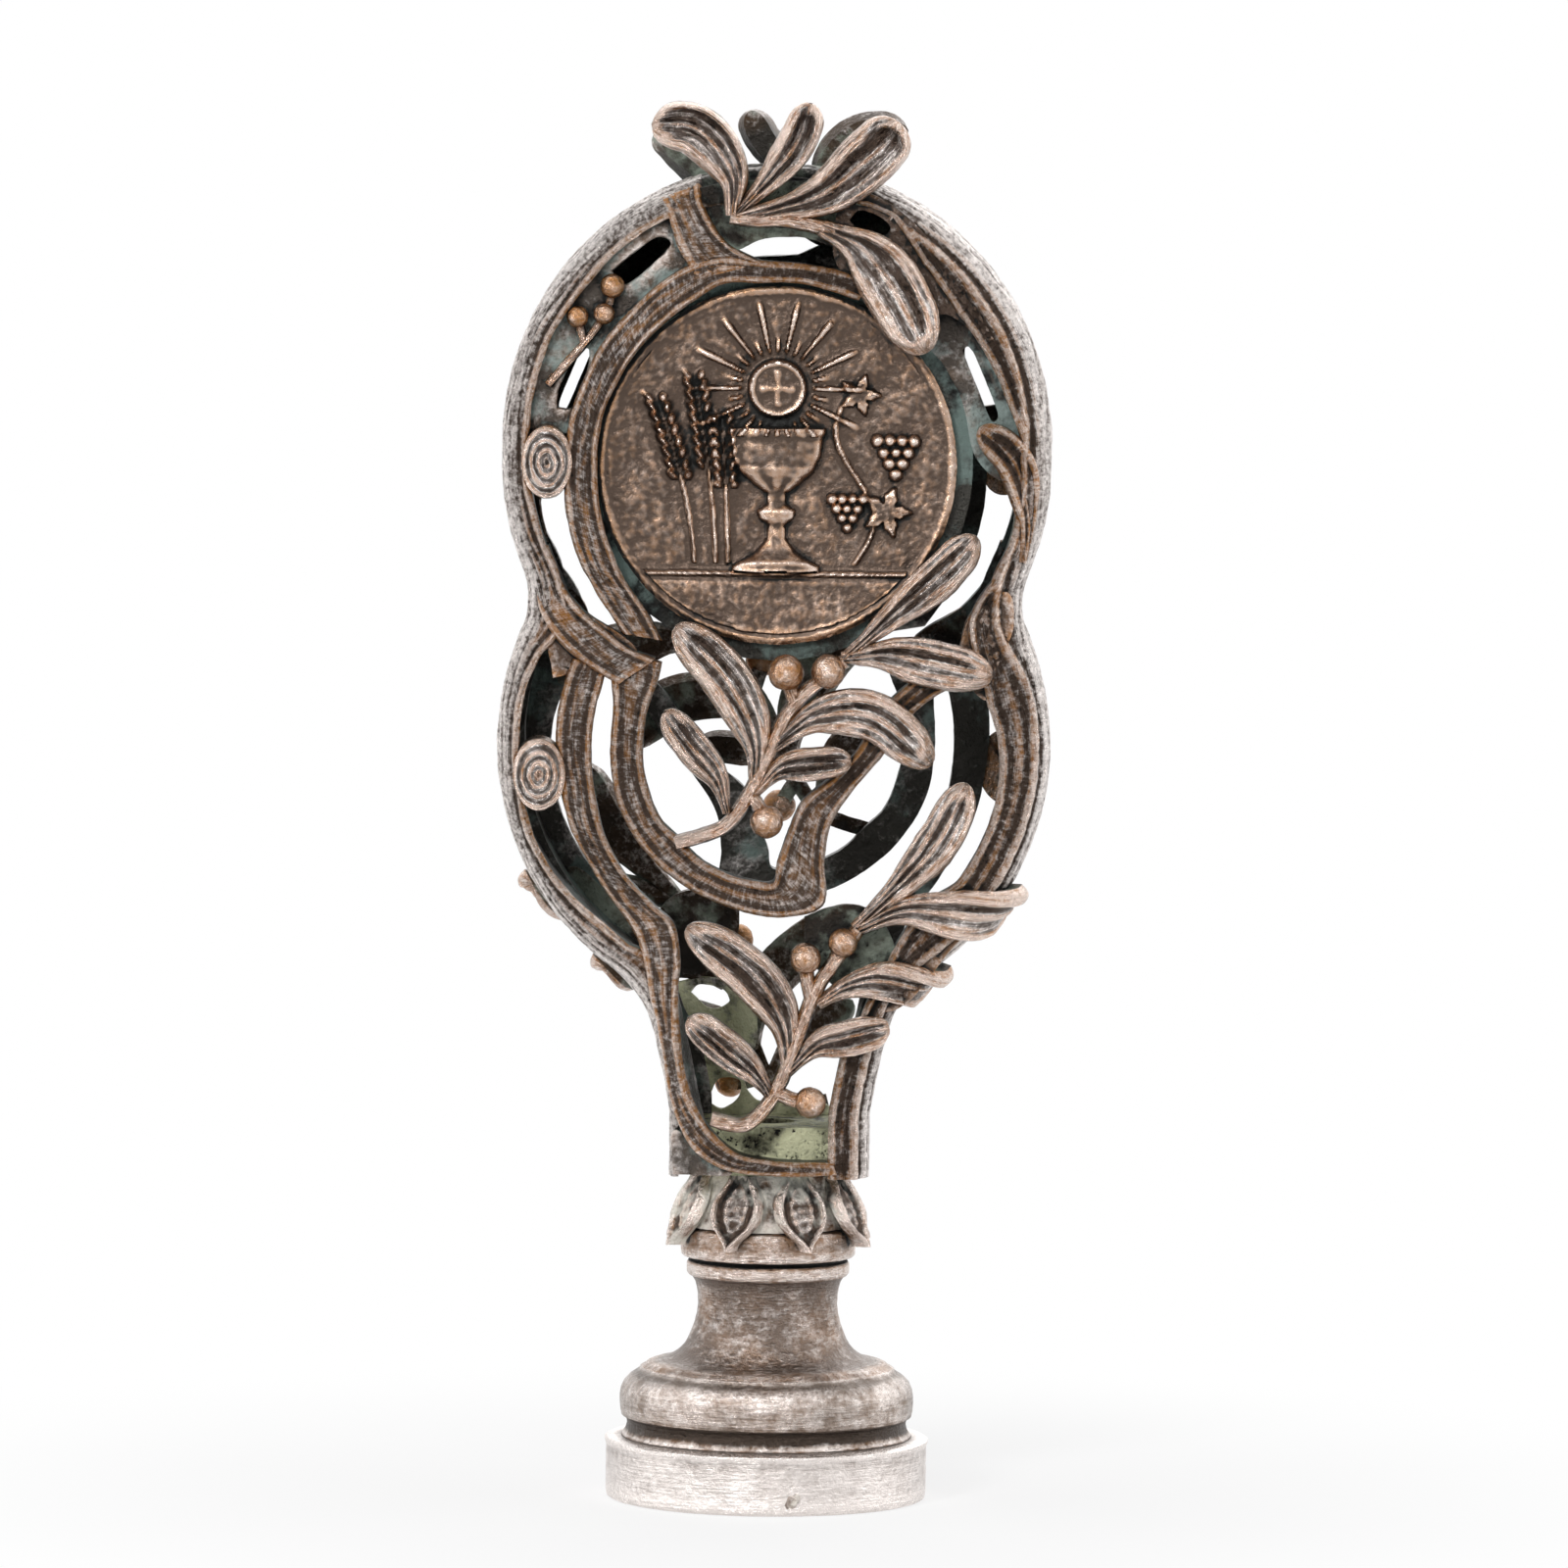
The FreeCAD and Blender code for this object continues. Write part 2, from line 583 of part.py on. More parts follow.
def stem_profile():
    """Face of the stem on one side of the axis, with its torus, waist, bead and top ring."""
    torus_z = MATRIX_TOP + UNDERCUT_H
    torus_top = torus_z + TORUS_H
    bead_z = STEM_TOP - TOP_RING_H - NECK_BEAD_H
    waist_z = torus_top + NECK_DROP * 0.82
    groove_r = NECK_BEAD_R - 0.35
    hollow = Part.Arc(
        V(UNDERCUT_R + 0.3, 0, MATRIX_TOP), V(UNDERCUT_R - 0.2, 0, MATRIX_TOP + UNDERCUT_H * 0.6),
        V(UNDERCUT_R, 0, torus_z),
    )
    torus = Part.Arc(
        V(UNDERCUT_R, 0, torus_z), V(TORUS_R, 0, torus_z + TORUS_H * 0.45), V(SHOULDER_R, 0, torus_top)
    )
    sweep = Part.BSplineCurve()
    sweep.interpolate([
        V(SHOULDER_R - 0.4, 0, torus_top + NECK_DROP * 0.1), V(NECK_R + 1.35, 0, torus_top + NECK_DROP * 0.2),
        V(NECK_R + 0.35, 0, torus_top + NECK_DROP * 0.5), V(NECK_R, 0, waist_z), V(NECK_R + 0.4, 0, bead_z),
    ])
    corners = [
        V(NECK_BEAD_R, 0, bead_z), V(NECK_BEAD_R, 0, bead_z + NECK_BEAD_H * 0.75),
        V(groove_r, 0, bead_z + NECK_BEAD_H * 0.75), V(groove_r, 0, bead_z + NECK_BEAD_H),
        V(TOP_RING_R, 0, bead_z + NECK_BEAD_H), V(TOP_RING_R, 0, STEM_TOP), V(0, 0, STEM_TOP),
        V(0, 0, MATRIX_TOP), hollow.StartPoint,
    ]
    edges = [hollow.toShape(), torus.toShape()]
    edges.append(Part.makeLine(torus.EndPoint, sweep.StartPoint))
    edges.append(sweep.toShape())
    corners = [sweep.EndPoint] + corners
    edges += [Part.makeLine(a, b) for a, b in zip(corners, corners[1:])]
    return Part.Face(Part.Wire(edges))


def baluster_stem():
    body = stem_profile().revolve(V(0, 0, 0), UP, 360)
    return body.cut(bore(STUD_R + STUD_CLEARANCE, MATRIX_TOP, STEM_TOP))


def collar_leaf(turn):
    """Pointed leaf that droops over the top ring of the stem."""
    half = COLLAR_LEAF_W / 2
    tip_z = STEM_TOP - COLLAR_OVERHANG
    top_z = FOOT_Z
    wide_z = STEM_TOP + COLLAR_H * 0.4
    left = Part.Arc(V(-half * 0.55, 0, top_z), V(-half, 0, wide_z), V(0, 0, tip_z))
    right = Part.Arc(V(0, 0, tip_z), V(half, 0, wide_z), V(half * 0.55, 0, top_z))
    lid = Part.makeLine(right.EndPoint, left.StartPoint)
    wire = Part.Wire([left.toShape(), right.toShape(), lid])
    leaf = slab(wire, 0, COLLAR_TIP_R + 2)
    return leaf.rotated(V(0, 0, 0), UP, turn)


def collar_bell(grow, low_z):
    """Bell-shaped body that the drooping leaves are cut from."""
    curve = Part.BSplineCurve()
    curve.interpolate([
        V(COLLAR_TOP_R + grow, 0, FOOT_Z), V(COLLAR_TOP_R + 0.9 + grow, 0, FOOT_Z - COLLAR_H * 0.45),
        V(COLLAR_TIP_R - 0.2 + grow, 0, STEM_TOP), V(COLLAR_TIP_R + grow, 0, low_z),
    ])
    rest = [curve.EndPoint, V(0, 0, low_z), V(0, 0, FOOT_Z), curve.StartPoint]
    edges = [curve.toShape()] + [Part.makeLine(a, b) for a, b in zip(rest, rest[1:])]
    return Part.Face(Part.Wire(edges)).revolve(V(0, 0, 0), UP, 360)


def leaf_collar():
    low_z = STEM_TOP - COLLAR_OVERHANG - 0.5
    hollow = collar_bell(-COLLAR_WALL, low_z)
    bell = collar_bell(0, low_z).cut(hollow)
    leaves = [
        collar_leaf((index + 0.5) * 360 / COLLAR_LEAVES).common(bell) for index in range(COLLAR_LEAVES)
    ]
    core = hollow.common(bore(COLLAR_TIP_R * 2, STEM_TOP, FOOT_Z))
    body = fused([core] + leaves)
    return solid_of(body.cut(bore(STUD_R + STUD_CLEARANCE, STEM_TOP, FOOT_Z)), "leaf_collar")


def foot_plug():
    """Block in the open foot of the handle, tapped for the stud."""
    half_x = FOOT_HALF_W - WALL - PLUG_CLEARANCE
    half_y = HALF_DEPTH - WALL - PLUG_CLEARANCE
    block = Part.makeBox(2 * half_x, 2 * half_y, PLUG_H, V(-half_x, -half_y, FOOT_Z))
    corner = max(SHOULDER_ROUND - WALL, 0.4)
    upright = [edge for edge in block.Edges if edge.BoundBox.ZLength > PLUG_H / 2]
    return block.makeFillet(corner, upright).cut(bore(STUD_R + STUD_CLEARANCE, FOOT_Z, FOOT_Z + PLUG_H))


def threaded_stud():
    return bore(STUD_R, MATRIX_TOP - STUD_IN_MATRIX, FOOT_Z + STUD_IN_PLUG)


def build():
    front = front_openwork()
    nodes = {
        "seal_matrix": seal_matrix(),
        "baluster_stem": baluster_stem(),
        "leaf_collar": leaf_collar(),
        "foot_plug": foot_plug(),
        "threaded_stud": threaded_stud(),
    }
    halves = {
        "openwork": front,
        "medallion": medallion(),
        "crown_sprig": crown_sprig().cut(front),
        "middle_sprig": middle_sprig().cut(front),
        "lower_sprig": lower_sprig().cut(front),
        "berry_twig": berry_twig().cut(front),
    }
    for name, shape in halves.items():
        nodes["front_" + name] = shape
        nodes["back_" + name] = half_turn(shape)
    return nodes


os.makedirs("parts", exist_ok=True)
for node, shape in build().items():
    print(node, len(shape.Solids), shape.isValid(), round(shape.Volume, 1))
    shape.exportStep("parts/" + node + ".step")
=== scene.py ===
import logging
import math
from dataclasses import dataclass, field, replace
from enum import Enum
from functools import cache
from typing import Callable, Sequence

import bmesh
import bpy
import numpy as np
from mathutils import Matrix, Vector, noise
from mathutils.bvhtree import BVHTree


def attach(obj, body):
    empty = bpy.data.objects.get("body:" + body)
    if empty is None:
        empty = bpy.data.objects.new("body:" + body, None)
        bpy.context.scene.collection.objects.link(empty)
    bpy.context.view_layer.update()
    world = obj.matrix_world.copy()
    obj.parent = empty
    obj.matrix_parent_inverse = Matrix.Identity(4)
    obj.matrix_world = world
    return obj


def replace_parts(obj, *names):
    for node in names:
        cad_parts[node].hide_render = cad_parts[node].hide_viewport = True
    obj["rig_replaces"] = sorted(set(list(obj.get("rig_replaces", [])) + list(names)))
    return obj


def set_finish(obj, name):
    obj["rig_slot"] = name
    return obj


# A desk wax seal of silvered bronze: a turned foot, a calyx of leaves and a pierced two-ring handle.
# Sizes are in millimetres until a piece is finished. The front faces -Y, and the back of the
# handle is the front turned half a turn about the upright axis.

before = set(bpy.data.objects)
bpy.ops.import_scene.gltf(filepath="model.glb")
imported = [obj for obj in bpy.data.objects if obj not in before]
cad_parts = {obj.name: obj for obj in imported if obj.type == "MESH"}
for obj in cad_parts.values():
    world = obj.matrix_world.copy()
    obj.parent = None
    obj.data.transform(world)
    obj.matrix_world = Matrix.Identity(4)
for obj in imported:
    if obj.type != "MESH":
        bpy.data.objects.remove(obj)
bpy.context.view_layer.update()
log = logging.getLogger("seal")

METRE = 0.001
SHARP_FROM = 42.0
Pair = tuple[float, float]
Edges = tuple[Pair, Pair]
Place = Callable[[float, float], Vector]
Relief = Callable[[float, float, float], float]


def ramp(low: float, high: float, value: float) -> float:
    """Smooth step from 0 at low to 1 at high.

    Args:
        low: value that gives 0.
        high: value that gives 1.
        value: the number to place between them.

    Returns:
        A number from 0 to 1.
    """
    share = min(max((value - low) / (high - low), 0.0), 1.0)
    return share * share * (3 - 2 * share)


def hump(value: float, middle: float, width: float) -> float:
    """Rounded bump of height 1 at middle that has faded at twice its width."""
    return math.exp(-(((value - middle) / width) ** 2))


def rolled(radius: float, near: float) -> float:
    """How far a rounded edge has fallen at a distance from it."""
    return radius - math.sqrt(max(radius ** 2 - max(radius - near, 0.0) ** 2, 0.0))


@dataclass(frozen=True)
class Bead:
    """Long rounded ridge, or a groove where its height is below 0."""

    place: float
    width: float
    height: float

    def at(self, distance: float) -> float:
        """Its height at a distance across it."""
        return self.height * hump(distance, self.place, self.width)


def wander(along: float, across: float, seed: float) -> float:
    """Slow noise from -1 to 1, for lines that a hand has cut."""
    return noise.noise(Vector((along, across, seed)))


def along_line(points: Sequence[Sequence[float]], share: float) -> Vector:
    """Point on a smooth line through points.

    Args:
        points: the points, of two or more numbers each.
        share: how far along, from 0 at the first point to 1 at the last.

    Returns:
        The point, of as many numbers.
    """
    spans = len(points) - 1
    place = min(max(share, 0.0), 1.0) * spans
    index = min(int(place), spans - 1)
    rest = place - index
    around = [Vector(points[min(max(index + step, 0), spans)]) for step in (-1, 0, 1, 2)]
    before, start, end, after = around
    if index == 0:
        before = start * 2 - end
    if index == spans - 1:
        after = end * 2 - start
    flat = (
        2 * start + (end - before) * rest + (2 * before - 5 * start + 4 * end - after) * rest ** 2
        + (3 * start - before - 3 * end + after) * rest ** 3
    )
    return flat / 2


class Side(Enum):
    """Half of the handle that a piece belongs to."""

    FRONT = "front"
    BACK = "back"


@dataclass(frozen=True)
class Handle:
    """Outline of the handle and the rounded skin that its ornament lies on."""

    foot_z: float = 20.45
    neck_top_z: float = 32.35
    lower_z: float = 47.15
    medal_z: float = 64.4
    upper_top_z: float = 65.8
    crown_z: float = 82.75
    back_crown: float = 0.8
    lower_r: float = 17.1
    upper_r: float = 16.95
    foot_half: float = 6.25
    foot_straight: float = 3.8
    neck_half: float = 8.1
    depth: float = 5.8
    wall: float = 1.7
    round_r: float = 2.2
    corner: float = 2.0

    @property
    def side(self) -> float:
        """Where the straight side wall ends and the shoulder starts, from the seam."""
        return self.depth - self.round_r

    def neck_width(self, z: float) -> float:
        """Half of the neck's width at a height.

        Args:
            z: height.

        Returns:
            The half width.
        """
        low = self.foot_z + self.foot_straight
        share = min(max((z - low) / (self.neck_top_z - low), 0.0), 1.0)
        return self.foot_half + (self.neck_half - self.foot_half) * share ** 1.25

    def inset(self, x: float, z: float) -> float:
        """Distance inside the outline.

        Args:
            x: place to the right of the middle.
            z: height.

        Returns:
            Millimetres inside the silhouette, below 0 outside it.
        """
        middle = min(max(z, self.medal_z), self.upper_top_z)
        upper = self.upper_r - math.hypot(x, z - middle)
        lower = self.lower_r - math.hypot(x, z - self.lower_z)
        neck = min(self.neck_width(z) - abs(x), self.lower_z - self.lower_r / 2 - z)
        whole = upper
        for other in (lower, neck):
            near = max(self.corner - abs(whole - other), 0.0) / self.corner
            whole = max(whole, other) + near * near * self.corner / 4
        return whole

    def outward(self, x: float, z: float) -> Vector:
        """Direction straight out of the outline.

        Args:
            x: place to the right of the middle.
            z: height.

        Returns:
            The direction, as (x, z).
        """
        step = 0.05
        rise = self.inset(x + step, z) - self.inset(x - step, z)
        climb = self.inset(x, z + step) - self.inset(x, z - step)
        return -Vector((rise, climb)).normalized()

    def lay(self, x: float, z: float, height: float) -> Vector:
        """Place of a point that is drawn flat and laid on the rounded skin.

        Args:
            x: place to the right of the middle, unrolled past the shoulder.
            z: height.
            height: distance above the skin.

        Returns:
            The point in space.
        """
        deep = self.inset(x, z)
        if deep >= self.round_r:
            return Vector((x, -self.depth - height, z))
        out = self.outward(x, z)
        past = self.round_r - deep
        turn = min(past / self.round_r, math.pi / 2)
        start = Vector((x, z)) - out * past
        flat = start + out * (self.round_r + height) * math.sin(turn)
        drop = max(past - self.round_r * math.pi / 2, 0.0)
        rise = self.side + (self.round_r + height) * math.cos(turn)
        return Vector((flat.x, drop - rise, flat.y))

    def free(self, x: float, z: float, height: float) -> Vector:
        """Place of a point that stands clear of the skin, straight in front of the seam."""
        return Vector((x, -self.depth - height, z))

    def path(self, spacing: float) -> list[tuple[Vector, Vector]]:
        """Silhouette from the left foot over the crown to the right foot.

        Args:
            spacing: distance between its points.

        Returns:
            Points with their outward directions, both as (x, z).
        """
        left = [(-self.foot_half, self.foot_z + 0.7 * index) for index in range(14)]
        left += self.arc(self.lower_z, self.lower_r, 238, 151)
        left += self.arc(self.medal_z, self.upper_r, 208, 181)
        left += self.arc(self.upper_top_z, self.upper_r, 180, 90)
        whole = [Vector(place) for place in left]
        whole += [Vector((-place.x, place.y)) for place in reversed(whole[:-1])]
        for _ in range(3):
            whole = [place + self.outward(*place) * self.inset(*place) for place in whole]
        even = self.spread(whole, spacing)
        even = [place + self.outward(*place) * self.inset(*place) for place in even]
        return [(place, self.outward(*place)) for place in even]

    @staticmethod
    def arc(middle_z: float, radius: float, start: int, end: int) -> list[Pair]:
        """Points on a ring between two angles, every 3 degrees or so.

        Args:
            middle_z: height of the ring's middle.
            radius: its radius.
            start: first angle in degrees.
            end: last angle in degrees.

        Returns:
            The points, as (x, z).
        """
        steps = abs(end - start) // 3
        turns = [math.radians(start + (end - start) * index / steps) for index in range(steps + 1)]
        return [(radius * math.cos(turn), middle_z + radius * math.sin(turn)) for turn in turns]

    @staticmethod
    def spread(points: Sequence[Vector], spacing: float) -> list[Vector]:
        """Points at an even spacing along a line of points.

        Args:
            points: the line.
            spacing: distance between the new points.

        Returns:
            The new points.
        """
        reach = [0.0]
        for near, far in zip(points, points[1:]):
            reach.append(reach[-1] + (far - near).length)
        count = int(reach[-1] / spacing)
        wanted = np.linspace(0.0, reach[-1], count + 1)
        xs = np.interp(wanted, reach, [place[0] for place in points])
        zs = np.interp(wanted, reach, [place[1] for place in points])
        return [Vector((float(x), float(z))) for x, z in zip(xs, zs)]


HANDLE = Handle()


class Shape:
    """One piece in the making: a bmesh with a grain map that runs along the metal."""

    def __init__(self) -> None:
        """Starts an empty shape."""
        self.bm = bmesh.new()
        self.grain = self.bm.loops.layers.uv.new("grain")

    def sheet(self, across: int, along: int, place: Place, size: Pair = (1.0, 1.0), turn: int = 1000) -> None:
        """Grid of faces whose points go where a function says.

        Args:
            across: faces across the sheet.
            along: faces along it.
            place: gives the point for shares from 0 to 1 across and along.
            size: millimetres across and along, for the grain.
            turn: first row of faces that takes the second material instead of the first.
        """
        made = bmesh.ops.create_grid(self.bm, x_segments=across, y_segments=along, size=1.0)["verts"]
        faces = {face for vert in made for face in vert.link_faces}
        for face in faces:
            row = min(loop.vert.co.x for loop in face.loops)
            face.material_index = int(round((row + 1) / 2 * across) >= turn)
            for loop in face.loops:
                spot = loop.vert.co
                loop[self.grain].uv = ((spot.x + 1) / 2 * size[0], (spot.y + 1) / 2 * size[1])
        for vert in made:
            vert.co = place((vert.co.x + 1) / 2, (vert.co.y + 1) / 2)

    def turned(self, profile: Sequence[Pair], steps: int) -> None:
        """Solid of revolution around the upright axis.

        Args:
            profile: (radius, height) from the axis round to the axis again.
            steps: faces around.
        """
        verts = [self.bm.verts.new((radius, 0.0, height)) for radius, height in profile]
        edges = [self.bm.edges.new(pair) for pair in zip(verts, verts[1:])]
        bmesh.ops.spin(
            self.bm, geom=verts + edges, cent=(0, 0, 0), axis=(0, 0, 1), angle=2 * math.pi, steps=steps,
            use_merge=True, use_normal_flip=False, use_duplicate=False,
        )
        for face in self.bm.faces:
            for loop in face.loops:
                spot = loop.vert.co
                loop[self.grain].uv = (spot.z + math.hypot(spot.x, spot.y), math.atan2(spot.y, spot.x) * 8)

    def ball(self, middle: Vector, radius: float, flat: float = 1.0, seed: float = 0.0) -> None:
        """Cast bead, a little uneven.

        Args:
            middle: its centre.
            radius: its radius.
            flat: depth as a share of its width.
            seed: picks its unevenness.
        """
        made = bmesh.ops.create_icosphere(self.bm, subdivisions=4, radius=radius)["verts"]
        for vert in made:
            swell = 1 + 0.035 * noise.noise(vert.co * 1.1 / radius + Vector((seed, 0, 0)))
            vert.co = Vector((vert.co.x, vert.co.y * flat, vert.co.z)) * swell + middle

    def slab(self, loops: Sequence[Sequence[Pair]], top: float, low: float, edge: float = 0.15,
             kind: int = 0) -> None:
        """Plate on the front of the handle, with softened edges.

        Args:
            loops: closed outlines as (x, z) control points, the outer one first, then its holes.
            top: height of its face above the skin.
            low: height of its underside.
            edge: width of the softened edge.
            kind: the material it takes.
        """
        before = set(self.bm.faces)
        lines = []
        for loop in loops:
            steps = 8 * len(loop)
            ring = [along_line([*loop, loop[0]], index / steps) for index in range(steps)]
            verts = [self.bm.verts.new((place.x, -HANDLE.depth - top, place.y)) for place in ring]
            lines += [self.bm.edges.new((a, b)) for a, b in zip(verts, verts[1:] + verts[:1])]
        filled = bmesh.ops.triangle_fill(self.bm, use_beauty=True, use_dissolve=False, edges=lines)
        faces = [item for item in filled["geom"] if isinstance(item, bmesh.types.BMFace)]
        grown = bmesh.ops.extrude_face_region(self.bm, geom=faces, use_keep_orig=True)["geom"]
        moved = [item for item in grown if isinstance(item, bmesh.types.BMVert)]
        bmesh.ops.translate(self.bm, verts=moved, vec=(0, top - low, 0))
        bmesh.ops.bevel(
            self.bm, geom=lines, offset=edge, offset_type="OFFSET", affect="EDGES", segments=3,
            profile=0.5, material=-1, clamp_overlap=True,
        )
        for _ in range(4):
            long = [line for line in self.bm.edges if line.calc_length() > 0.6]
            bmesh.ops.subdivide_edges(self.bm, edges=long, cuts=1)
            bmesh.ops.triangulate(self.bm, faces=[face for face in self.bm.faces if len(face.verts) > 4])
        for face in set(self.bm.faces) - before:
            deep = -face.calc_center_median().y - HANDLE.depth
            face.material_index = kind if deep > low + 0.2 else 0

    def roughen(self, amount: float, scale: float) -> None:
        """Moves every point a little along its normal, as a sand mould leaves it.

        Args:
            amount: how far, in millimetres.
            scale: waves in a millimetre.
        """
        self.bm.normal_update()
        moves = []
        for vert in self.bm.verts:
            fine = noise.noise(vert.co * scale * 4.3) * 0.5 + noise.noise(vert.co * scale * 9.1) * 0.25
            moves.append(vert.normal * (noise.noise(vert.co * scale) + fine) * amount)
        for vert, move in zip(self.bm.verts, moves):
            vert.co += move

    def close(self) -> None:
        """Joins seams, fills open ends and turns the faces outwards."""
        bmesh.ops.remove_doubles(self.bm, verts=self.bm.verts, dist=0.002)
        open_edges = [edge for edge in self.bm.edges if edge.is_boundary]
        if open_edges:
            bmesh.ops.holes_fill(self.bm, edges=open_edges, sides=0)
        bmesh.ops.recalc_face_normals(self.bm, faces=self.bm.faces)
        for island in self.islands():
            volume = sum(face.calc_center_median().dot(face.normal) * face.calc_area() for face in island)
            if volume < 0:
                bmesh.ops.reverse_faces(self.bm, faces=island)

    def islands(self) -> list[list[bmesh.types.BMFace]]:
        """Finds the connected parts.

        Returns:
            The faces of each part.
        """
        left = set(self.bm.faces)
        found = []
        while left:
            island = [left.pop()]
            for face in island:
                near = {other for edge in face.edges for other in edge.link_faces} & left
                left -= near
                island += near
            found.append(island)
        return found

    def finish(
        self, name: str, finishes: Sequence["Finish"], slot: str, nodes: Sequence[str], rough: float = 0.05,
    ) -> bpy.types.Object:
        """Makes the piece, in metres, and puts it on the body.

        Args:
            name: the piece's name.
            finishes: its finishes, by the index its faces use.
            slot: the record's finish it takes.
            nodes: the CAD solids it stands for.
            rough: how uneven its skin is.

        Returns:
            The finished object.
        """
        self.close()
        self.roughen(rough, 0.8)
        bmesh.ops.scale(self.bm, vec=(METRE, METRE, METRE), verts=self.bm.verts)
        mesh = bpy.data.meshes.new(name)
        self.bm.to_mesh(mesh)
        self.bm.free()
        return seat(mesh, name, finishes, slot, nodes)


def seat(
    mesh: bpy.types.Mesh, name: str, finishes: Sequence["Finish"], slot: str, nodes: Sequence[str]
) -> bpy.types.Object:
    """Puts a finished mesh in the scene as a piece of the seal.

    Args:
        mesh: the mesh, in metres.
        name: the piece's name.
        finishes: its finishes, where the mesh has none yet.
        slot: the record's finish it takes.
        nodes: the CAD solids it stands for.

    Returns:
        The object.
    """
    for polygon in mesh.polygons:
        polygon.use_smooth = True
    mesh.set_sharp_from_angle(angle=math.radians(SHARP_FROM))
    for finish in finishes:
        mesh.materials.append(material_of(finish))
    piece = bpy.data.objects.new(name, mesh)
    bpy.context.scene.collection.objects.link(piece)
    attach(piece, "root")
    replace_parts(piece, *nodes)
    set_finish(piece, slot)
    log.info("%s: %d faces", name, len(mesh.polygons))
    return piece


class Link:
    """An output socket that takes part in Python sums, one Math node for each."""

    def __init__(self, paint: "Paint", socket: bpy.types.NodeSocket) -> None:
        """Keeps the socket and the material it belongs to.

        Args:
            paint: the material's builder.
            socket: the output socket.
        """
        self.paint = paint
        self.socket = socket

    def sum(self, operation: str, first: "Link | float", second: "Link | float" = 0.0) -> "Link":
        """One Math node.

        Args:
            operation: the node's operation.
            first: its first value.
            second: its second value.

        Returns:
            The result.
        """
        node = self.paint.node("ShaderNodeMath", {"operation": operation}, {0: first, 1: second})
        return Link(self.paint, node.outputs[0])

    def __add__(self, other: "Link | float") -> "Link":
        """Sum of two values."""
        return self.sum("ADD", self, other)

    __radd__ = __add__

    def __sub__(self, other: "Link | float") -> "Link":
        """This value less another."""
        return self.sum("SUBTRACT", self, other)

    def __rsub__(self, other: "Link | float") -> "Link":
        """Another value less this one."""
        return self.sum("SUBTRACT", other, self)

    def __mul__(self, other: "Link | float") -> "Link":
        """Product of two values."""
        return self.sum("MULTIPLY", self, other)

    __rmul__ = __mul__

    def between(self, low: float, high: float) -> "Link":
        """Smooth step from 0 at low to 1 at high.

        Args:
            low: value that gives 0.
            high: value that gives 1.

        Returns:
            The share between them.
        """
        node = self.paint.node(
            "ShaderNodeMapRange", {"interpolation_type": "SMOOTHSTEP"},
            {"Value": self, "From Min": low, "From Max": high},
        )
        return Link(self.paint, node.outputs["Result"])


class Paint:
    """Builds the nodes of one material."""

    def __init__(self, name: str, world: bool = False) -> None:
        """Starts a material, or a surround, with no nodes.

        Args:
            name: its name.
            world: whether it is the surround.
        """
        home = bpy.data.worlds if world else bpy.data.materials
        self.material = home.new(name)
        self.material.use_nodes = True
        self.tree = self.material.node_tree
        self.tree.nodes.clear()

    def node(self, kind: str, settings: dict, inputs: dict) -> bpy.types.Node:
        """Adds a node.

        Args:
            kind: its type.
            settings: its properties, set first.
            inputs: values or links for its sockets, by name or index.

        Returns:
            The node.
        """
        made = self.tree.nodes.new(kind)
        for key, value in settings.items():
            setattr(made, key, value)
        for key, value in inputs.items():
            if isinstance(value, Link):
                self.tree.links.new(value.socket, made.inputs[key])
            else:
                made.inputs[key].default_value = value
        return made

    def pattern(self, scale: float, detail: float, rough: float, where: "Link | None" = None) -> Link:
        """Noise from 0 to 1 on the object's own coordinates.

        Args:
            scale: its scale, per metre or per unit of where.
            detail: octaves.
            rough: strength of the small octaves.
            where: other coordinates to use.

        Returns:
            The noise.
        """
        spot = where or Link(self, self.node("ShaderNodeTexCoord", {}, {}).outputs["Object"])
        inputs = {"Vector": spot, "Scale": scale, "Detail": detail, "Roughness": rough}
        return Link(self, self.node("ShaderNodeTexNoise", {}, inputs).outputs["Fac"])

    def swing(self, scale: float, detail: float, rough: float, where: "Link | None" = None) -> Link:
        """The same noise around 0, from about -1 to 1."""
        return (self.pattern(scale, detail, rough, where) - 0.5) * 3.0

    def looks(self) -> Link:
        """Rays of the camera, and those that metal and glass send on, as 1 and the rest as 0.

        Returns:
            The share.
        """
        ray = self.node("ShaderNodeLightPath", {}, {})
        kinds = [Link(self, ray.outputs[f"Is {kind} Ray"]) for kind in ("Camera", "Glossy", "Transmission")]
        return (kinds[0] + kinds[1] + kinds[2]).between(0.0, 1.0)

    def kept(self, name: str) -> Link:
        """Number that the mesh carries on its points."""
        settings = {"attribute_type": "GEOMETRY", "attribute_name": name}
        return Link(self, self.node("ShaderNodeAttribute", settings, {}).outputs["Fac"])

    def blend(self, share: Link, low: "Link | tuple", high: "Link | tuple") -> Link:
        """Mixes two colours.

        Args:
            share: how much of the second.
            low: first colour.
            high: second colour.

        Returns:
            The mixed colour.
        """
        inputs = {0: share, 6: low, 7: high}
        node = self.node("ShaderNodeMix", {"data_type": "RGBA"}, inputs)
        return Link(self, node.outputs[2])

    def surface(self, inputs: dict) -> bpy.types.Material:
        """Ends the material in one shader.

        Args:
            inputs: the shader's sockets.

        Returns:
            The material.
        """
        shader = self.node("ShaderNodeBsdfPrincipled", {}, inputs)
        out = self.node("ShaderNodeOutputMaterial", {}, {})
        self.tree.links.new(shader.outputs[0], out.inputs["Surface"])
        return self.material


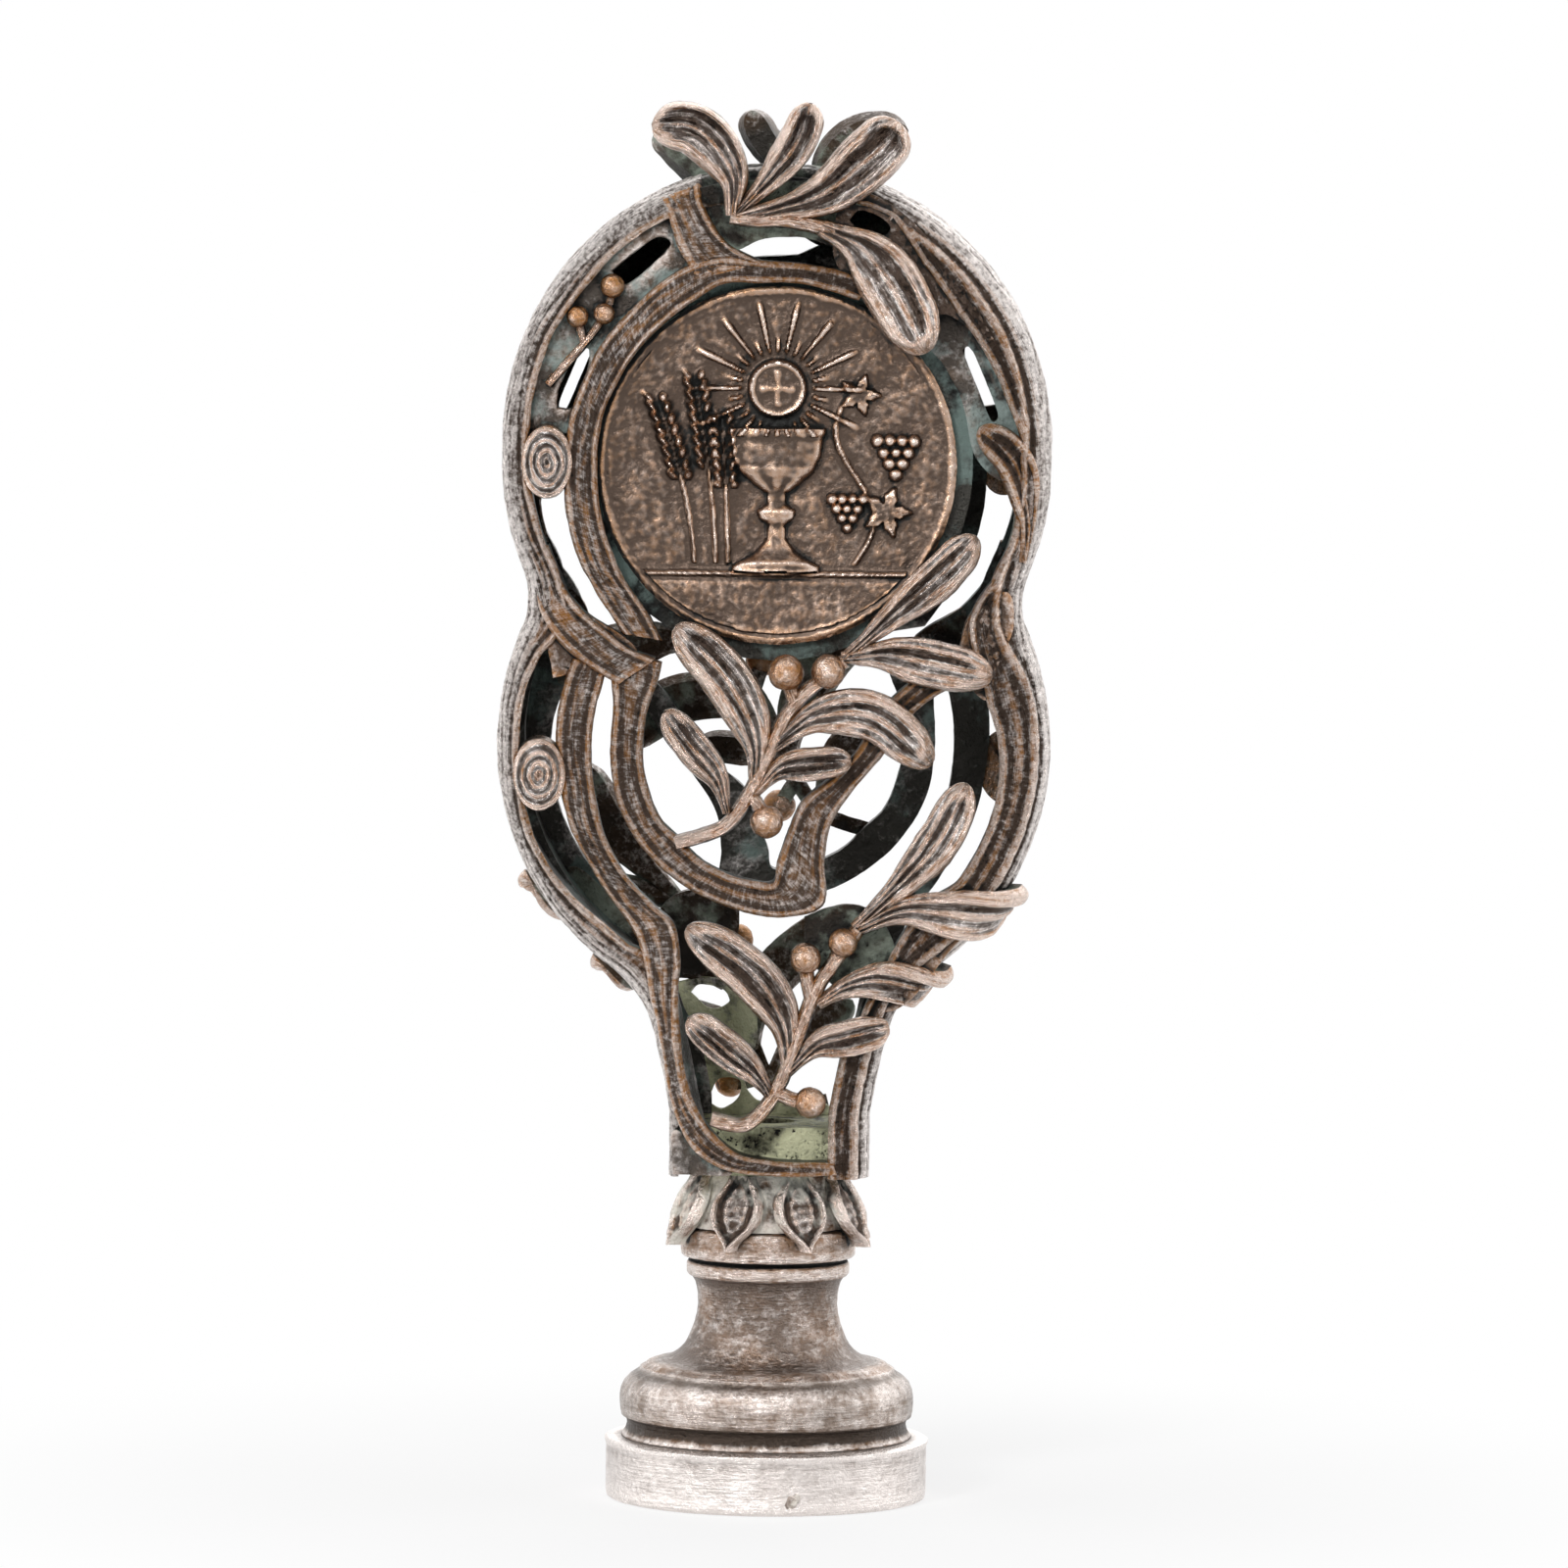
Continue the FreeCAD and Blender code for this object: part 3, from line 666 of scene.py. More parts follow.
Wave = tuple[float, float, float]
CLOUD: Wave = (230.0, 3.0, 0.55)
PATCH: Wave = (850.0, 4.0, 0.6)
FLECK: Wave = (2600.0, 4.0, 0.7)
OPEN_SHADE = 0.3
DRY = 0.625


@dataclass(frozen=True)
class Coat:
    """One coat of the metal: the sums at which it starts and is full, and what each measure counts in them."""

    start: float
    full: float
    rise: float = 0.0
    crest: float = 0.0
    hollow: float = 0.0
    edge: float = 0.0
    cloud: float = 0.0
    patch: float = 0.0
    mottle: float = 0.0
    skin: float = 0.0

    def share(self, measures: dict[str, Link], offset: float = 0.0, gain: float = 1.0) -> Link:
        """How much of the coat lies at each place.

        Args:
            measures: the measures of the surface, by name.
            offset: added to their sum.
            gain: strength of the sum.

        Returns:
            The share, from 0 to 1.
        """
        weights = {name: getattr(self, name) for name in measures}
        total = sum((measures[name] * weight for name, weight in weights.items() if weight), offset)
        return (total * gain).between(self.start, self.full)


SILVER = Coat(-0.42, 0.82, rise=1.0, hollow=-0.9, edge=0.28, mottle=0.3, skin=0.9)
GILDING = Coat(0.0, 0.6, crest=1.6, hollow=-0.4, edge=-0.6, mottle=0.45)
PITS = Coat(0.3, 0.62, crest=-0.4, hollow=0.3, skin=-0.8)
# This coat turns hollows, recesses and places under raised parts black: partly oxide that gathers there, partly painted
# shade.
SOOT_AND_SHADE = Coat(0.42, 0.92, crest=-0.5, hollow=1.3, patch=0.14)
BLOOM = Coat(-0.12, 0.16, hollow=0.25, cloud=0.35, patch=0.25)


@dataclass(frozen=True)
class Lay:
    """How the coats lie over one another, and what each does to the gloss and to the fine relief."""

    fleck_in_skin: float = 0.55
    patch_in_skin: float = 0.4
    silver_over_gold: float = 0.6
    pit_depth: float = 0.85
    bloom_cover: float = 0.95
    pits_through_bloom: float = 0.8
    toned_rough: float = 0.12
    black_rough: float = 0.25
    bloom_rough: float = 0.3
    fleck_rough: float = 0.05
    bloom_dull: float = 0.9
    black_dull: float = 0.35
    skin_height: float = 0.35
    pit_height: float = 0.25
    bump: float = 0.34 * METRE


LAY = Lay()


@dataclass(frozen=True)
class WornSilver:
    """Old silver plate over bronze, bright where it is rubbed, black with oxide where it is not, and darkened in
    hollows as painted shade.
    """

    name: str
    bright: tuple = (0.80, 0.745, 0.715, 1.0)
    toned: tuple = (0.09, 0.064, 0.05, 1.0)
    gold: tuple = (0.42, 0.19, 0.055, 1.0)
    # Black of oxide, also used as painted shade in hollows.
    oxide_and_shade: tuple = (0.016, 0.016, 0.015, 1.0)
    green: tuple = (0.42, 0.47, 0.33, 1.0)
    rub: float = 0.0
    gilt: float = 0.5
    # How strongly hollows are blackened, as oxide and as painted shade.
    soot: float = 1.0
    verdigris: float = 0.0
    hairline: float = 0.35
    hatch: float = 0.0
    speckle: float = 1.0
    mottle: float = 1.0
    contrast: float = 1.6
    polish: float = 0.27

    @staticmethod
    def engraved(paint: Paint, stretch: Wave, wave: Wave) -> Link:
        """Noise that follows the grain map.

        Args:
            paint: the material's builder.
            stretch: how close its lines lie across and along the grain.
            wave: its scale, octaves and roughness.

        Returns:
            The noise.
        """
        grain = Link(paint, paint.node("ShaderNodeUVMap", {"uv_map": "grain"}, {}).outputs[0])
        spot = paint.node("ShaderNodeMapping", {}, {"Vector": grain, "Scale": stretch})
        return paint.swing(*wave, Link(paint, spot.outputs[0]))

    def make(self) -> bpy.types.Material:
        """Builds the material.

        Returns:
            The material.
        """
        paint = Paint(self.name)
        crest, hollow = paint.kept("crest") - 0.5, paint.kept("shade") - OPEN_SHADE
        cloud, patch, fleck = paint.swing(*CLOUD), paint.swing(*PATCH), paint.swing(*FLECK)
        lines = self.engraved(paint, (6.5, 0.6, 1.0), (1.0, 4.0, 0.65))
        cuts = self.engraved(paint, (1.1, 5.5, 1.0), (1.0, 3.0, 0.6))
        skin = lines * self.hairline + cuts * self.hatch
        skin = skin + fleck * (LAY.fleck_in_skin * self.speckle) + patch * (LAY.patch_in_skin * self.mottle)
        measures = {
            "rise": crest * self.contrast, "crest": crest, "hollow": hollow, "edge": paint.kept("edge"),
            "cloud": cloud, "patch": patch, "mottle": cloud * self.mottle, "skin": skin,
        }
        silver = SILVER.share(measures, self.rub)
        gilding = GILDING.share(measures) * self.gilt
        pits = PITS.share(measures) * (LAY.pit_depth * self.speckle)
        # Black in the hollows: oxide together with painted shade taken from the shade measure.
        soot = SOOT_AND_SHADE.share(measures, OPEN_SHADE * SOOT_AND_SHADE.hollow, self.soot)
        black = (soot + pits).between(0.0, 1.0)
        bloom = BLOOM.share(measures, self.verdigris - DRY) * (1.0 - pits * LAY.pits_through_bloom)
        bloom = bloom * (LAY.bloom_cover if self.verdigris > 0 else 0.0)
        base = paint.blend(silver, self.toned, self.bright)
        base = paint.blend(gilding * (1.0 - silver * LAY.silver_over_gold), base, self.gold)
        base = paint.blend(black, base, self.oxide_and_shade)
        base = paint.blend(bloom, base, self.green)
        rough = self.polish + (1.0 - silver) * LAY.toned_rough + black * LAY.black_rough
        rough = rough + bloom * LAY.bloom_rough + fleck * LAY.fleck_rough
        height = skin * LAY.skin_height - pits * LAY.pit_height
        bump = paint.node("ShaderNodeBump", {}, {"Strength": 1.0, "Distance": LAY.bump, "Height": height})
        return paint.surface({
            "Base Color": base, "Metallic": 1.0 - (bloom * LAY.bloom_dull + black * LAY.black_dull),
            "Roughness": rough, "Normal": Link(paint, bump.outputs[0]),
        })


class Finish(Enum):
    """Every finish on the seal."""

    RIM = WornSilver(
        "rubbed_silver", rub=-0.36, gilt=0.8, speckle=1.8, hairline=0.8, hatch=0.5, mottle=0.6, contrast=1.5)
    BAND = WornSilver(
        "toned_band", rub=-0.42, gilt=0.8, hairline=0.6, hatch=0.6, speckle=1.5, mottle=0.6, contrast=1.2)
    LEAF = WornSilver(
        "leaf_silver", rub=-0.03, gilt=0.95, soot=0.7, hairline=0.75, mottle=0.8, contrast=1.1, polish=0.13)
    BERRY = WornSilver("berry_bronze", rub=-0.4, gilt=0.7, hairline=0.0, contrast=0.6, polish=0.13)
    INNER = WornSilver(
        "inner_teal", toned=(0.05, 0.048, 0.043, 1.0), green=(0.17, 0.23, 0.21, 1.0), rub=-0.7, gilt=0.0,
        verdigris=0.55)
    GREEN = WornSilver(
        "neck_verdigris", toned=(0.07, 0.07, 0.05, 1.0), green=(0.84, 0.85, 0.56, 1.0), rub=-0.5, gilt=0.0,
        soot=0.35, verdigris=0.77, speckle=2.0)
    # Near-black bronze for undersides, sunk plates and the inside of the back half: oxide there, darkened further as
    # painted shade.
    WEB = WornSilver(
        "sooty_bronze", toned=(0.04, 0.036, 0.032, 1.0), green=(0.25, 0.29, 0.235, 1.0), rub=-0.9, gilt=0.1,
        soot=1.3, verdigris=0.57, speckle=1.8)
    TRAY = WornSilver(
        "tray_patina", toned=(0.07, 0.06, 0.052, 1.0), green=(0.27, 0.33, 0.31, 1.0), rub=-0.45, gilt=0.2,
        soot=1.1, verdigris=0.54)
    # The medal's strong blackening of hollows paints the shadow that the raised ring casts on the edge of its field.
    MEDAL = WornSilver(
        "struck_bronze", rub=-0.52, gilt=0.8, soot=1.5, hairline=0.0, speckle=0.4, mottle=0.12, contrast=1.9,
        polish=0.19)
    FOOT = WornSilver(
        "turned_silver", toned=(0.2, 0.16, 0.14, 1.0), rub=0.1, gilt=0.1, soot=0.9, hairline=0.2, speckle=0.5,
        mottle=0.7)
    TORUS = WornSilver(
        "torus_silver", toned=(0.15, 0.12, 0.1, 1.0), rub=-0.47, gilt=0.15, hairline=0.3, speckle=0.6, polish=0.2)
    NECK = WornSilver(
        "turned_neck", toned=(0.15, 0.115, 0.095, 1.0), rub=-0.46, gilt=0.4, hairline=0.45, speckle=0.9,
        polish=0.2)
    UNDERCUT = WornSilver("undercut_tarnish", toned=(0.055, 0.042, 0.034, 1.0), rub=-0.45, gilt=0.2, speckle=0.8)
    # The collar's strong blackening of hollows is oxide between its leaves and painted shade there as well.
    COLLAR = WornSilver(
        "collar_silver", green=(0.8, 0.77, 0.69, 1.0), rub=-0.25, gilt=0.6, soot=1.4, verdigris=0.55, hairline=0.3,
        contrast=2.0, polish=0.18)
    CHALK = WornSilver(
        "pale_residue", toned=(0.06, 0.05, 0.042, 1.0), green=(0.82, 0.78, 0.70, 1.0), rub=-0.3, gilt=0.3,
        soot=0.7, verdigris=0.6)


@cache
def material_of(finish: Finish) -> bpy.types.Material:
    """Material of a finish, made when it is first asked for."""
    return finish.value.make()


class PatinaAndShade:
    """Finds where the casting is rubbed and how much of the sky each place hides, which the finishes paint as dirt and
    as shade.
    """

    def __init__(self, rays: int = 14, reach: float = 4.5) -> None:
        """Chooses how closely to look.

        Args:
            rays: directions tried from each point.
            reach: how far a neighbour still shades a point.
        """
        self.reach = reach * METRE
        self.fan = []
        for index in range(rays):
            share = (index + 0.5) / rays
            turn = index * math.pi * (3 - math.sqrt(5))
            side = math.sqrt(share * 0.92)
            self.fan.append((side * math.cos(turn), side * math.sin(turn), math.sqrt(1 - side * side)))

    def crests(self, mesh: bpy.types.Mesh) -> np.ndarray:
        """How convex the surface is at each point.

        Args:
            mesh: the piece's mesh.

        Returns:
            Shares from 0 in a groove to 1 on a sharp crest.
        """
        count = len(mesh.vertices)
        spots, normals = np.empty(count * 3), np.empty(count * 3)
        mesh.vertices.foreach_get("co", spots)
        mesh.vertex_normals.foreach_get("vector", normals)
        spots, normals = spots.reshape(-1, 3) / METRE, normals.reshape(-1, 3)
        ends = np.empty(len(mesh.edges) * 2, dtype=np.int64)
        mesh.edges.foreach_get("vertices", ends)
        near, far = ends.reshape(-1, 2).T
        gap = spots[near] - spots[far]
        long = (gap ** 2).sum(1)
        share = 1 / (1 + long / 0.12)
        long = np.maximum(long, 0.02)
        bend = np.zeros(count)
        sides = np.zeros(count)
        np.add.at(bend, near, share * (gap * normals[near]).sum(1) / long)
        np.add.at(bend, far, -share * (gap * normals[far]).sum(1) / long)
        np.add.at(sides, near, share)
        np.add.at(sides, far, share)
        bend = np.clip(2 * bend / np.maximum(sides, 0.5), -4, 4)
        for _ in range(5):
            total = bend * 2
            np.add.at(total, near, share * bend[far])
            np.add.at(total, far, share * bend[near])
            bend = total / (sides + 2)
        return 0.5 + 0.5 * np.tanh(bend / 0.8)

    def shades(self, mesh: bpy.types.Mesh, around: BVHTree) -> list[float]:
        """How much of the sky is hidden from each point.

        Args:
            mesh: the piece's mesh.
            around: every surface of the object.

        Returns:
            Shares from 0 in the open to 1 in a hole.
        """
        found = []
        for vert in mesh.vertices:
            up = vert.normal
            start = vert.co + up * (0.06 * METRE)
            side = up.orthogonal().normalized()
            other = up.cross(side)
            hidden = 0.0
            for right, ahead, climb in self.fan:
                hit = around.ray_cast(start, side * right + other * ahead + up * climb, self.reach)
                if hit[0] is not None:
                    hidden += 1 - 0.6 * hit[3] / self.reach
            found.append(hidden / len(self.fan))
        return found

    def settle(self, fronts: Sequence[bpy.types.Object], backs: Sequence[bpy.types.Object]) -> None:
        """Writes both measures on every piece.

        Args:
            fronts: pieces to measure.
            backs: pieces that only shade the others.
        """
        spots: list[Vector] = []
        faces: list[tuple] = []
        for piece in [*fronts, *backs]:
            first = len(spots)
            spots += [vert.co.copy() for vert in piece.data.vertices]
            faces += [tuple(first + index for index in polygon.vertices) for polygon in piece.data.polygons]
        around = BVHTree.FromPolygons(spots, faces)
        for piece in fronts:
            mesh = piece.data
            crest = mesh.attributes.new("crest", "FLOAT", "POINT")
            crest.data.foreach_set("value", self.crests(mesh))
            shade = mesh.attributes.new("shade", "FLOAT", "POINT")
            shade.data.foreach_set("value", self.shades(mesh, around))


FACE_WIDTH = 0.13


def strip(
    shape: Shape, edges: Sequence[Edges], relief: Relief, lift: float = 0.0, low: float = -1.7,
    spacing: float = 0.3, across: int = 24, round_r: float = 0.28,
) -> None:
    """Band of changing width on the handle: a closed bar with relief on its face.

    Args:
        shape: the piece it is added to.
        edges: pairs of points, ((x, z), (x, z)), one on each edge, along the band.
        relief: height at a share across, a share along and the width there.
        lift: height of its face above the skin.
        low: height of its underside.
        spacing: length of a face along it.
        across: faces across its top.
        round_r: radius of its top edges.
    """
    left = [pair[0] for pair in edges]
    right = [pair[1] for pair in edges]
    length = sum(math.dist(a, b) for a, b in zip(left, left[1:])) / 2
    length += sum(math.dist(a, b) for a, b in zip(right, right[1:])) / 2
    rows = max(4, int(length / spacing))
    last = across + 4

    def place(share: float, along: float) -> Vector:
        """Point of the bar.

        Args:
            share: share of the way round it, first across its top and then back underneath.
            along: share of the way along it.

        Returns:
            The point.
        """
        index = round(share * last) % last
        start, end = along_line(left, along), along_line(right, along)
        width = (end - start).length
        if index > across:
            side, height = ((1.0, low * 0.5), (1.0, low), (0.0, low))[index - across - 1]
            spot = start.lerp(end, side)
            return HANDLE.lay(spot.x, spot.y, height)
        part = index / across
        near = min(part, 1 - part) * width
        spot = start.lerp(end, part)
        return HANDLE.lay(spot.x, spot.y, lift + relief(part, along, width) - rolled(round_r, near))

    shape.sheet(last, rows, place, (last * FACE_WIDTH, length), across)


@dataclass(frozen=True)
class BeadedFace:
    """Relief of a band with an edge bead on each side and grain lines between."""

    seed: float
    left: float = 0.16
    right: float = 0.16
    grain: float = 0.05
    bead: Bead = Bead(0.24, 0.17, 1.0)
    groove: Bead = Bead(0.6, 0.16, -0.035)
    pitch: float = 0.42
    scratch: float = 0.05
    rise: float = 0.0
    rise_span: Pair = (0.0, 1.0)
    base: float = 0.0

    def __call__(self, part: float, along: float, width: float) -> float:
        """Height above the plain band.

        Args:
            part: share of the way across.
            along: share of the way along.
            width: width of the band there.

        Returns:
            The height.
        """
        near, far = part * width, (1 - part) * width
        sway = wander(along * 9, part * 2, self.seed) * 1.4
        lines = math.sin((near / self.pitch + sway * 1.6) * 2 * math.pi) * self.grain * 0.6
        lines += self.scratch * wander(along * 31, near * 1.4, self.seed + 8)
        fade = ramp(0.35, 0.7, min(near, far)) * (0.6 + 0.6 * wander(along * 22, part * 7, self.seed + 5))
        beads = self.left * self.bead.at(near) + self.right * self.bead.at(far)
        level = self.base + self.rise * ramp(*self.rise_span, along)
        return beads + self.groove.at(near) + self.groove.at(far) + lines * fade + level


@dataclass(frozen=True)
class StalkFace:
    """Relief of a stalk: a half-round with fine ridges along it."""

    height: float
    seed: float
    ridge: float = 0.05
    ridges: int = 5

    def __call__(self, part: float, along: float, width: float) -> float:
        """Height above the plain strip.

        Args:
            part: share of the way across.
            along: share of the way along.
            width: width of the stalk there, which changes nothing.

        Returns:
            The height.
        """
        arch = math.sqrt(max(1 - (2 * part - 1) ** 2, 0.0)) * self.height
        return arch + self.ridge * math.sin((part * self.ridges + wander(along * 5, part, self.seed)) * 2 * math.pi)


@dataclass
class Rim:
    """Outer edge of the whole handle: side wall, rounded shoulder and the bands beside it."""

    spacing: float = 0.32
    wall_steps: int = 22
    face_steps: int = 34
    back_steps: int = 6
    seam: Bead = Bead(0.0, 0.2, -0.1)
    shoulder: Bead = Bead(-0.9, 0.22, 0.09)
    wall_sink: float = 0.14
    wall_ripple: float = 0.03
    wall_rough: float = 0.05
    shoulder_sink: float = 0.06
    edge_r: float = 0.25
    bead: Bead = Bead(0.22, 0.17, 0.14)
    bead_groove: Bead = Bead(0.55, 0.18, -0.06)
    bead_from: Pair = (30.0, 36.5)
    bead_until: Pair = (79.8, 78.0)
    line_pitch: float = 0.5
    line_height: float = 0.075
    line_sink: float = 0.03
    ridge: Bead = Bead(0.0, 0.24, 0.24)
    ridge_groove: Bead = Bead(-0.5, 0.2, -0.14)
    ridge_twist: Bead = Bead(0.0, 0.3, 0.05)
    ridge_deep: float = 2.95
    ridge_low: float = 2.2
    ridge_rise: Pair = (50.0, 55.0)
    field_sink: float = 0.16
    tick_height: float = 0.07
    crown_z: float = 70.0
    crown_half: float = 4.9
    crown_sink: float = 0.5
    rub_deep: Pair = (1.5, 0.3)
    rub_front: Pair = (-0.5, 0.8)
    evened: float = 0.65
    left_edge: tuple[Pair, ...] = (
        (-5.8, 20.6), (-5.8, 22.4), (-5.7, 24.2), (-5.6, 25.8), (-5.8, 28.5), (-5.9, 30.7), (-6.0, 32.2),
        (-7.4, 34.2), (-8.9, 34.9), (-10.3, 36.1), (-11.8, 37.3), (-13.5, 39.2), (-14.8, 41.4), (-15.3, 43.3),
        (-15.7, 47.0), (-15.6, 49.1), (-15.2, 50.9), (-14.2, 52.9), (-13.1, 54.3), (-12.6, 55.6), (-13.1, 57.1),
        (-14.1, 59.4), (-14.7, 61.2), (-15.2, 63.3), (-15.3, 65.1), (-15.2, 66.8), (-15.0, 68.6), (-14.6, 70.2),
        (-13.9, 72.2), (-13.0, 73.7), (-11.7, 75.4), (-10.2, 77.2), (-8.6, 78.5), (-6.9, 79.5), (-5.4, 80.0),
        (-4.4, 80.2), (-2.6, 80.3), (0.0, 80.5),
    )
    right_edge: tuple[Pair, ...] = (
        (3.6, 22.0), (3.6, 23.7), (3.9, 26.0), (4.3, 27.9), (5.4, 30.0), (6.0, 31.6), (7.0, 33.6), (8.2, 36.0),
        (9.2, 37.6), (11.4, 38.9), (12.8, 41.3), (13.6, 43.5), (13.9, 46.2), (13.7, 48.1), (13.1, 49.8),
        (12.3, 52.3), (11.8, 54.9), (13.2, 57.2), (14.3, 59.6), (14.8, 62.0), (15.0, 64.0), (14.9, 66.3),
        (14.1, 68.4), (13.3, 70.3), (12.3, 72.0), (10.9, 73.9), (9.9, 75.4), (8.9, 76.8), (7.9, 78.2),
        (6.9, 79.7), (5.2, 80.4), (2.9, 80.5), (0.0, 80.5),
    )
    line: list[tuple[Vector, Vector]] = field(default_factory=list)
    widths: list[float] = field(default_factory=list)

    def measure(self) -> None:
        """Works out the silhouette and how wide the bands beside it are all along."""
        self.line = HANDLE.path(self.spacing)
        middle = len(self.line) // 2
        marks = []
        for edge, low, high in ((self.left_edge, 0, middle + 1), (self.right_edge, middle, len(self.line))):
            for x, z in edge:
                spot = Vector((x, z))
                gaps = [(self.line[index][0] - spot).length for index in range(low, high)]
                marks.append((low + gaps.index(min(gaps)), min(gaps)))
        marks.sort()
        places = [mark[0] for mark in marks]
        self.widths = list(np.interp(range(len(self.line)), places, [mark[1] for mark in marks]))

    def relief(self, deep: float, width: float, row: int) -> float:
        """Height of the face above the plain skin.

        Args:
            deep: distance in from the silhouette, along the surface.
            width: width of the band there.
            row: place along the silhouette.

        Returns:
            The height.
        """
        far = width - deep
        run, (x, z) = row * self.spacing, self.line[row][0]
        sway = wander(run * 0.12, deep, 3.0) * 1.9
        lines = math.sin((deep / self.line_pitch + sway) * 2 * math.pi) * self.line_height - self.line_sink
        lines *= ramp(0.3, 0.6, far) * (0.5 + wander(run * 0.1, deep * 0.7, 9.0))
        crown = ramp(self.crown_half + 0.3, self.crown_half - 0.1, abs(x)) * ramp(self.crown_z, self.crown_z + 1, z)
        edge = self.bead.at(far) * (1 - crown) - self.crown_sink * crown
        if row < len(self.line) / 2:
            plain = ramp(*self.bead_from, z) * ramp(*self.bead_until, z)
            return (edge + self.bead_groove.at(far)) * plain + lines - self.crown_sink * crown * (1 - plain)
        ridge = self.ridge_low + (self.ridge_deep - self.ridge_low) * ramp(*self.ridge_rise, z)
        if width < ridge + 0.3:
            return edge + lines
        field = ramp(ridge + 0.2, ridge + 0.6, deep) * ramp(0.3, 0.6, far)
        ticks = self.tick_height * math.sin(run * 7.5 + 2.2 * wander(run * 0.6, deep * 1.3, 15.0)) * field
        past = deep - ridge
        bright = self.ridge.at(past) + self.ridge_groove.at(past)
        twist = self.ridge_twist.at(past) * math.sin(run * 5.2 + deep * 7)
        return edge - self.field_sink * field + ticks + bright + twist + lines

    def place(self, row: int, reach: float, height: float) -> Vector:
        """Point of the skin on one row.

        Args:
            row: place along the silhouette.
            reach: distance from the seam, up the side wall and over the shoulder.
            height: distance above the skin.

        Returns:
            The point.
        """
        spot, out = self.line[row]
        round_r, side = HANDLE.round_r, HANDLE.side
        if reach <= side:
            flat = spot + out * height
            return Vector((flat.x, -reach, flat.y))
        turn = (reach - side) / round_r
        if turn <= math.pi / 2:
            flat = spot + out * ((round_r + height) * math.cos(turn) - round_r)
            return Vector((flat.x, -side - (round_r + height) * math.sin(turn), flat.y))
        flat = spot - out * (reach - side - round_r * math.pi / 2 + round_r)
        return Vector((flat.x, -HANDLE.depth - height, flat.y))

    def band_length(self, row: int) -> float:
        """Length of the skin from the start of the shoulder to the band's inner edge.

        Args:
            row: place along the silhouette.

        Returns:
            The length.
        """
        width, round_r = self.widths[row], HANDLE.round_r
        if width >= round_r:
            return round_r * math.pi / 2 + width - round_r
        return round_r * math.acos(1 - width / round_r)

    def wall_point(self, row: int, step: int) -> Vector:
        """Point of the side wall.

        Args:
            row: place along the silhouette.
            step: place from the seam to the shoulder.

        Returns:
            The point.
        """
        side = HANDLE.side
        reach = side * step / self.wall_steps
        sway = wander(row * self.spacing * 0.24, 0, 1) * 4
        height = self.shoulder.at(reach - side) + self.seam.at(reach) - self.wall_sink
        height += self.wall_ripple * math.sin(reach * 5 + sway) + self.wall_rough * wander(row * 0.3, reach * 1.2, 7.0)
        lap = 0.08 if step == 0 else 0.0
        return self.place(row, reach - lap, height * ramp(side, side - 0.4, reach) - self.shoulder_sink)

    def face_point(self, row: int, step: int) -> Vector:
        """Point of the shoulder or of the band beside it.

        Args:
            row: place along the silhouette.
            step: place from the start of the shoulder to the band's inner edge.

        Returns:
            The point.
        """
        length = self.band_length(row)
        past = length * step / self.face_steps
        height = self.relief(past, length, row) * ramp(0.0, 0.7, past)
        height = min(height, 0.0 if past < 1.2 else 1.0) - rolled(self.edge_r, length - past)
        return self.place(row, HANDLE.side + past, height - 0.07 * ramp(1.5, 0.0, past))

    def back_point(self, row: int, step: int) -> Vector:
        """Point of the inner face, behind the band and down to the seam.

        Args:
            row: place along the silhouette.
            step: place from the band's inner edge to the seam.

        Returns:
            The point.
        """
        spot, out = self.line[row]
        width = self.widths[row]
        wall, low = min(HANDLE.wall, width - 0.05), HANDLE.depth - HANDLE.wall
        lip = -self.place(row, HANDLE.side + self.band_length(row), 0.0).y
        ways = ((width, min(lip, low + 0.4)), (width, min(lip - 0.05, low)), (wall, low - 0.02), (wall, low * 0.5),
                (wall, 0.0))
        deep, toward = ways[step - 1]
        flat = spot - out * deep
        return Vector((flat.x, -toward, flat.y))

    def skin(self, across: float, along: float) -> Vector:
        """Point of the rim's closed skin.

        Args:
            across: share of the way round its section, from the seam over the shoulder and back inside.
            along: share of the way along the silhouette.

        Returns:
            The point.
        """
        last = self.wall_steps + self.face_steps + self.back_steps
        index = round(across * last) % last
        row = round(along * (len(self.line) - 1))
        if index <= self.wall_steps:
            return self.wall_point(row, index)
        index -= self.wall_steps
        if index <= self.face_steps:
            return self.face_point(row, index)
        return self.back_point(row, index - self.face_steps)

    def build(self) -> bpy.types.Object:
        """Models the front half of the rim.

        Returns:
            The piece.
        """
        self.measure()
        shape = Shape()
        rows, front = len(self.line) - 1, self.wall_steps + self.face_steps
        last = front + self.back_steps
        shape.sheet(last, rows, self.skin, (last * 0.3, rows * self.spacing), front)
        # Faces of the recess behind the crown sprig take the near-black web finish, partly painted shade.
        for face in shape.bm.faces:
            spot = face.calc_center_median()
            if abs(spot.x) < self.crown_half and spot.z > self.crown_z:
                face.material_index = 2
        rim = shape.finish("front_rim", [Finish.RIM, Finish.INNER, Finish.WEB], "cast_bronze", ["front_openwork"])
        edge = rim.data.attributes.new("edge", "FLOAT", "POINT")
        for point, vert in zip(edge.data, rim.data.vertices):
            x, y, z = vert.co / METRE
            point.value = ramp(*self.rub_deep, HANDLE.inset(x, z)) * ramp(*self.rub_front, -y)
        return rim

